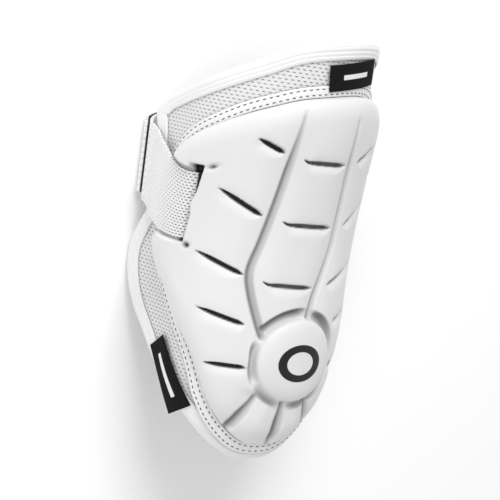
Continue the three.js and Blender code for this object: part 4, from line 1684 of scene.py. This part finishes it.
@dataclass
class Liner:
    """The knit liner that lies on the arm, and the binding round it."""

    patch: Patch
    thickness: float = 3.0
    gap: float = 0.45
    binding_width: float = 8.0
    binding_thickness: float = 1.0
    ridges: int = 3
    ridge_height: float = 0.28
    rows: int = 150
    columns: int = 130

    def build_sheet(self, material: bpy.types.Material) -> bpy.types.Object:
        """Builds the knit sheet.

        Args:
            material: Its finish.

        Returns:
            The sheet's object.
        """
        y, arc = self.patch.grid(self.rows, self.columns)
        shell = self.patch.shell
        liner = sheet_mesh("liner_knit", shell.point(y, arc, self.thickness),
                           shell.point(y, arc, 0.0), np.stack([arc, y], -1))
        dress(liner, material, "mesh_liner", "liner")
        return liner

    def profile(self) -> list[tuple[float, float]]:
        """Draws the binding's section round the liner's edge, ridged on the outer face.

        Returns:
            Pairs of outward distance and height over the liner's inner face.
        """
        cover = self.gap + self.binding_thickness
        top, low = self.thickness + cover, -cover
        inner_top, inner_low = self.thickness + self.gap, -self.gap
        shares = np.linspace(0, 1, 22)
        outer = []
        for share in shares:
            ridge = abs(math.sin(math.pi * self.ridges * share)) ** 0.8
            edge = min(1.0, 4 * share)
            outer.append((-self.binding_width + (self.binding_width - 0.6) * share,
                          top - self.ridge_height * (1 - ridge) - 0.35 * (1 - edge)))
        middle, reach = (top + low) / 2, (top - low) / 2
        nose = [(-0.6 + (cover + 0.6) * math.cos(a), middle + reach * math.sin(a))
                for a in np.linspace(QUARTER, -QUARTER, 9)[1:-1]]
        inner = [(-0.6, low), (-self.binding_width * 0.5, low), (-self.binding_width, low + 0.3)]
        pocket = [(-self.binding_width, inner_low), (self.gap, inner_low),
                  (self.gap, inner_top), (-self.binding_width, inner_top)]
        return outer + nose + inner + pocket

    def build_binding(self, material: bpy.types.Material) -> bpy.types.Object:
        """Builds the binding round the liner's edge.

        Args:
            material: Its finish.

        Returns:
            The binding's object.
        """
        loop = EdgeLoop(self.patch)
        profile = self.profile()
        binding = band_mesh("liner_binding", loop.band(profile, 0.0), loop.run, profile)
        dress(binding, material, "binding_knit", "binding")
        return binding


@dataclass
class EdgeTape:
    """The tape sewn round the pad with two rows of stitches."""

    patch: Patch
    base: float
    width: float = 6.5
    thickness: float = 1.0
    gap: float = 0.45
    over_binding: float = 1.45
    over_binding_to: float = 38.0
    stitch_length: float = 2.1
    stitch_pitch: float = 3.4
    stitch_radius: float = 0.32
    stitch_rows: tuple[float, float] = (0.24, 0.72)
    row_spread: float = 0.05
    sunk: float = 0.22
    lap: float = 14.0

    def lift(self, y: np.ndarray) -> np.ndarray:
        """Gives the tape's height, which is more where it lies over the binding."""
        on = 1 - smooth_step(y, self.over_binding_to, self.over_binding_to + self.lap)
        return self.base + self.over_binding * on

    def build(self, cloth: bpy.types.Material, thread: bpy.types.Material,
              ) -> list[bpy.types.Object]:
        """Builds the tape and its stitches.

        Args:
            cloth: The tape's finish.
            thread: The stitches' finish.

        Returns:
            The tape and the stitches.
        """
        loop = EdgeLoop(self.patch)
        lift = self.lift(loop.places[:, 1])
        shares = np.linspace(0, 1, 15)
        sunk = [self.sunk * sum(math.exp(-((s - row) / self.row_spread) ** 2)
                                for row in self.stitch_rows) for s in shares]
        top = [(self.gap + self.width * s,
                self.thickness * (0.55 + 0.45 * min(1, 7 * s, 7 * (1 - s))) - d)
               for s, d in zip(shares, sunk)]
        profile = top + [(self.gap + self.width, 0.0), (self.gap, 0.0)]
        tape = band_mesh("edge_tape_band", loop.band(profile, lift), loop.run, profile)
        dress(tape, cloth, "edge_tape_knit", "edge_tape")
        rows = [self.stitches(loop, lift, self.gap + self.width * s) for s in self.stitch_rows]
        points = np.concatenate([p for p, _ in rows])
        faces = rows[0][1] + [[i + len(rows[0][0]) for i in f] for f in rows[1][1]]
        sewn = make_mesh("edge_tape_stitches", points, faces)
        dress(sewn, thread, "edge_tape_knit")
        return [tape, sewn]

    def stitches(self, loop: EdgeLoop, lift: np.ndarray, out: float,
                 ) -> tuple[np.ndarray, list[list[int]]]:
        """Lays a row of stitches round the tape.

        Args:
            loop: The pad's outline.
            lift: The tape's height at each of its points.
            out: How far out the row lies.

        Returns:
            The stitches' points and faces.
        """
        arc, y = (loop.places + loop.out * out).T
        steps = np.hypot(np.diff(arc, append=arc[0]), np.diff(y, append=y[0]))
        run = np.concatenate([[0], np.cumsum(steps)])
        line = np.stack([np.append(v, v[0]) for v in (arc, y, lift)], -1)
        count = int(run[-1] / self.stitch_pitch)
        sides = np.linspace(0, math.tau, 6, endpoint=False)
        points, faces = [], []
        for k in range(count):
            start = run[-1] * k / count
            ends = start + self.stitch_length * np.array([0, 0.2, 0.8, 1])
            size = self.stitch_radius * np.array([0.35, 1, 1, 0.35])
            sink = self.stitch_radius * np.array([-0.9, 0.2, 0.2, -0.9])
            at = np.stack([np.interp(ends, run, line[:, c]) for c in range(3)], -1)
            way = at[-1, :2] - at[0, :2]
            way = way / np.hypot(*way)
            across = np.array([way[1], -way[0]])
            base = len(points)
            for (a, b, h), r, s in zip(at, size, sink):
                for angle in sides:
                    points.append(self.patch.shell.point(
                        b + across[1] * r * math.cos(angle), a + across[0] * r * math.cos(angle),
                        h + self.thickness - self.sunk + s + r * math.sin(angle)))
            faces += grid_faces(4, 6, base, round_columns=True).tolist()
            faces += [list(range(base + 5, base - 1, -1)), list(range(base + 18, base + 24))]
        return np.array(points), faces


@dataclass
class Strap:
    """The elastic strap's two ends and the hook fastener between them."""

    path: StrapPath
    scallop: float = 0.35
    scallop_pitch: float = 1.65
    step: float = 0.45
    columns: int = 40

    def face(self, runs: np.ndarray, lift: Callable, mirror: bool, scallop: float,
             ) -> tuple[np.ndarray, np.ndarray]:
        """Lays out a face of the strap with scalloped edges.

        Args:
            runs: Distances run.
            lift: Gives the height at a distance run.
            mirror: Whether it starts on the side of negative X.
            scallop: The depth of the scallops.

        Returns:
            The face's points and its map.
        """
        flat = np.linspace(-0.5, 0.5, self.columns + 1)[None, :] * self.path.width
        wave = scallop * (1 - np.abs(np.sin(math.pi * runs / self.scallop_pitch)))[:, None]
        edge = np.abs(flat) > self.path.width / 2 - 1.0
        shifts = flat - np.sign(flat) * wave * edge
        shifts = np.broadcast_to(shifts, (len(runs), self.columns + 1))
        points = self.path.strip(runs, shifts, lift, mirror)
        return points, np.stack(np.broadcast_arrays(runs[:, None], shifts), -1)

    def sheet(self, name: str, start: float, end: float, low: Callable, high: Callable,
              mirror: bool, scallop: float | None = None) -> bpy.types.Object:
        """Builds a stretch of strap.

        Args:
            name: Its name.
            start: The distance run at its start.
            end: The distance run at its end.
            low: Gives the height of its inner face.
            high: Gives the height of its outer face.
            mirror: Whether it starts on the side of negative X.
            scallop: The depth of the scallops, or None for the strap's own.

        Returns:
            The stretch's object.
        """
        runs = np.linspace(start, end, int((end - start) / self.step))
        depth = self.scallop if scallop is None else scallop
        over, places = self.face(runs, high, mirror, depth)
        under, _ = self.face(runs, low, mirror, depth)
        return sheet_mesh(name, over, under, places, sharp=40.0)

    def build(self, loop_cloth: bpy.types.Material, hook_cloth: bpy.types.Material,
              hooks: bpy.types.Material) -> None:
        """Builds both ends of the strap and the hook patch.

        Args:
            loop_cloth: The loop end's finish.
            hook_cloth: The hook end's finish.
            hooks: The hook patch's finish.
        """
        path = self.path
        flat, thick = np.zeros_like, path.thickness
        back = (path.total - path.side - path.bend) / path.lap_parts
        start, rise = path.slot_arc + path.root, path.stack - path.thickness
        tab = path.side + path.bend * path.hook_share
        loop_end, hook_end = path.total + 2 * back, 2 * path.total - tab
        loop = self.sheet("strap_loop_end", start, loop_end, flat,
                          lambda run: np.full_like(run, thick), True)
        dress(loop, loop_cloth, "strap_elastic_loop_end", "strap_loop_side")

        def step(run: np.ndarray) -> np.ndarray:
            """Gives the height that the hook end takes to pass over the loop end."""
            return rise * smooth_step(run, path.side - path.lap_step, path.side + path.bend)

        hook = self.sheet("strap_hook_end", start, hook_end, step,
                          lambda run: step(run) + thick, False)
        dress(hook, hook_cloth, "strap_elastic_hook_end", "strap_hook_side")
        low = thick + path.gap
        patch = self.sheet("hook_fastener_patch", tab, path.total - back,
                           lambda run: np.full_like(run, low),
                           lambda run: np.full_like(run, low + path.hook_thickness), True, 0.0)
        dress(patch, hooks, "hook_fastener", "hook_patch")


@dataclass
class Label:
    """A woven label sewn over an edge."""

    shell: Shell
    name: str
    length: float
    width: float
    at: float
    turn: float
    tilt: float
    low: float
    thickness: float = 0.8
    stitch_inset: float = 1.3

    def point(self, u: np.ndarray, v: np.ndarray, lift: np.ndarray) -> np.ndarray:
        """Finds points of the label in space.

        Args:
            u: Distances along it from its middle.
            v: Distances across it.
            lift: Heights off the shell's inner face.

        Returns:
            Points in metres.
        """
        y = self.at * self.shell.length
        arc = float(self.shell.arc_of(np.array(y), np.array(self.turn)))
        cosine, sine = math.cos(math.radians(self.tilt)), math.sin(math.radians(self.tilt))
        return self.shell.point(y + u * sine + v * cosine, arc + u * cosine - v * sine, lift)

    def build(self, cloth: bpy.types.Material, slot: str, node: str) -> bpy.types.Object:
        """Builds the label.

        Args:
            cloth: Its finish.
            slot: The record's slot for its finish, whose name is only logged.
            node: The CAD node that it replaces.

        Returns:
            The label's object.
        """
        u = np.linspace(-0.5, 0.5, 72)[:, None] * self.length
        v = np.linspace(-0.5, 0.5, 32)[None, :] * self.width
        u, v = np.broadcast_arrays(u, v)
        edge = np.minimum(self.length / 2 - np.abs(u), self.width / 2 - np.abs(v))
        seam = np.exp(-((edge - self.stitch_inset) / 0.5) ** 2)
        top = self.thickness * (0.5 + 0.5 * np.clip(edge / 0.8, 0, 1)) - 0.15 * seam
        label = sheet_mesh(self.name, self.point(u, v, self.low + top),
                           self.point(u, v, self.low), np.stack([u, v], -1))
        dress(label, cloth, slot, node)
        return label


class LightRow(NamedTuple):
    """A soft square light: where it hangs in metres, its side and its power in watts."""

    name: str
    place: tuple[float, float, float]
    size: float
    power: float


LIGHTS = (
    LightRow("key_light", (-0.25, 1.2, 0.95), 0.9, 19.0),
    LightRow("fill_light", (-0.9, -0.8, 0.9), 1.4, 6.5),
)


@dataclass
class Studio:
    """The pale floor, the soft lights and the camera."""

    shell: Shell
    round_turn: float = 34.5
    up_turn: float = 8.2
    roll: float = 8.3
    lens: float = 120.0
    distance: float = 935.5
    scale: float = 0.5613
    target: tuple[float, float] = (291.0, 360.5)
    aim: tuple[float, float, float] = (64.0, 0.0, 15.8)
    sky: float = 0.55
    floor_size: float = 8.0

    def axes(self) -> tuple[np.ndarray, np.ndarray, np.ndarray]:
        """Works out the camera's directions.

        Returns:
            Its right, its up, and the way back from the object to it.
        """
        phi, eps, rho = (math.radians(v) for v in (self.round_turn, self.up_turn, self.roll))
        back = np.array([-math.sin(phi) * math.cos(eps), math.sin(eps),
                         math.cos(phi) * math.cos(eps)])
        level = np.array([math.cos(phi), 0.0, math.sin(phi)])
        rise = np.cross(back, level)
        right = level * math.cos(rho) + rise * math.sin(rho)
        up = -level * math.sin(rho) + rise * math.cos(rho)
        return right, up, back

    def build_camera(self, aim: np.ndarray) -> None:
        """Places the camera so that a point falls on its pixel.

        Args:
            aim: The point in metres.
        """
        right, up, back = self.axes()
        across, down = (self.target[0] - 250) * self.scale, (self.target[1] - 250) * self.scale
        spot = aim + (back * self.distance - right * across + up * down) * METRES
        data = bpy.data.cameras.new("photo_camera")
        data.lens, data.sensor_width = self.lens, 36.0
        camera = bpy.data.objects.new("photo_camera", data)
        turn = Matrix([right.tolist(), up.tolist(), back.tolist()]).transposed()
        camera.matrix_world = Matrix.Translation(spot.tolist()) @ turn.to_4x4()
        bpy.context.scene.collection.objects.link(camera)
        bpy.context.scene.camera = camera

    def build_light(self, row: LightRow) -> None:
        """Hangs a light that looks at the object.

        Args:
            row: The light's row of the table.
        """
        data = bpy.data.lights.new(row.name, "AREA")
        data.energy, data.size = row.power, row.size
        light = bpy.data.objects.new(row.name, data)
        light.location = row.place
        aim = Vector((0.0, 0.0, 0.05)) - Vector(row.place)
        light.rotation_euler = aim.to_track_quat("-Z", "Y").to_euler()
        bpy.context.scene.collection.objects.link(light)

    def build(self) -> None:
        """Builds the floor, the lights, the world and the camera."""
        bpy.ops.mesh.primitive_plane_add(size=self.floor_size)
        floor = bpy.context.object
        floor.name = "floor"
        floor.data.materials.append(Paper().build("pale_floor"))
        for row in LIGHTS:
            self.build_light(row)
        bpy.context.scene.view_settings.view_transform = "Standard"
        world = bpy.data.worlds.new("studio")
        world.use_nodes = True
        ground = world.node_tree.nodes["Background"]
        ground.inputs["Color"].default_value = (1.0, 1.0, 1.0, 1.0)
        ground.inputs["Strength"].default_value = self.sky
        bpy.context.scene.world = world
        self.build_camera(self.shell.point(*map(np.array, self.aim)))


def match_frame(shell: Shell, patch: Patch) -> None:
    """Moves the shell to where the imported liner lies.

    Args:
        shell: The shell, whose shift is set.
        patch: The liner's patch.
    """
    y, arc = patch.grid(200, 120)
    points = np.concatenate([shell.point(y, arc, lift).reshape(-1, 3) for lift in (0.0, 3.0)])
    own = np.array([points.min(0), points.max(0)])
    packed = np.array([tuple(corner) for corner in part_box("liner")])
    middle = (packed.mean(0) - own.mean(0)) / METRES
    low = (packed[0] - own[0]) / METRES
    shell.shift = np.array([middle[0], low[1], low[2]])
    LOG.info("shell shift %s mm, liner off by %s mm", np.round(shell.shift, 2),
             np.round((packed - own) / METRES - shell.shift, 2).tolist())


def main() -> None:
    """Builds the guard and its studio."""
    shell = Shell()
    liner_patch = Patch(shell, "liner", bottom=0.0, top=1.0, reach=LINER_REACH)
    pad_patch = Patch(shell, "pad", bottom=0.037, top=0.88, reach=PAD_REACH)
    match_frame(shell, liner_patch)
    liner = Liner(liner_patch)
    base = liner.thickness + liner.gap
    liner.build_sheet(AirMesh().build("air_mesh"))
    liner.build_binding(RibbedKnit().build("binding_knit"))
    path = StrapPath(shell, base)
    Pad(pad_patch, path, base).build(FoamSkin().build("moulded_skin"))
    tape_cloth = RibbedKnit(rib_pitch=0.65, shadow_wall_from=6.6).build("tape_knit")
    EdgeTape(pad_patch, base).build(tape_cloth, Thread().build("dark_thread"))
    Strap(path).build(WovenElastic().build("elastic_loop_end"),
                      WovenElastic().build("elastic_hook_end"), HookTape().build("hook_tape"))
    top_cloth = WovenLabel(LabelBar(length=18.0, height=3.0))
    side_cloth = WovenLabel(LabelBar(length=28.0, height=3.0))
    low = base + 1.0 + liner.gap
    Label(shell, "top_label_cloth", length=34.0, width=15.0, at=0.934, turn=0.18, tilt=11.0,
          low=low).build(
        top_cloth.build("top_label_weave"), "top_label_cloth", "top_label")
    Label(shell, "side_label_cloth", length=45.0, width=15.0, at=0.177, turn=-0.93, tilt=-53.0,
          low=low).build(
        side_cloth.build("side_label_weave"), "side_label_cloth", "side_label")
    Studio(shell).build()


if __name__ == "__main__":
    logging.basicConfig(level=logging.INFO, format="%(name)s: %(message)s")
    main()
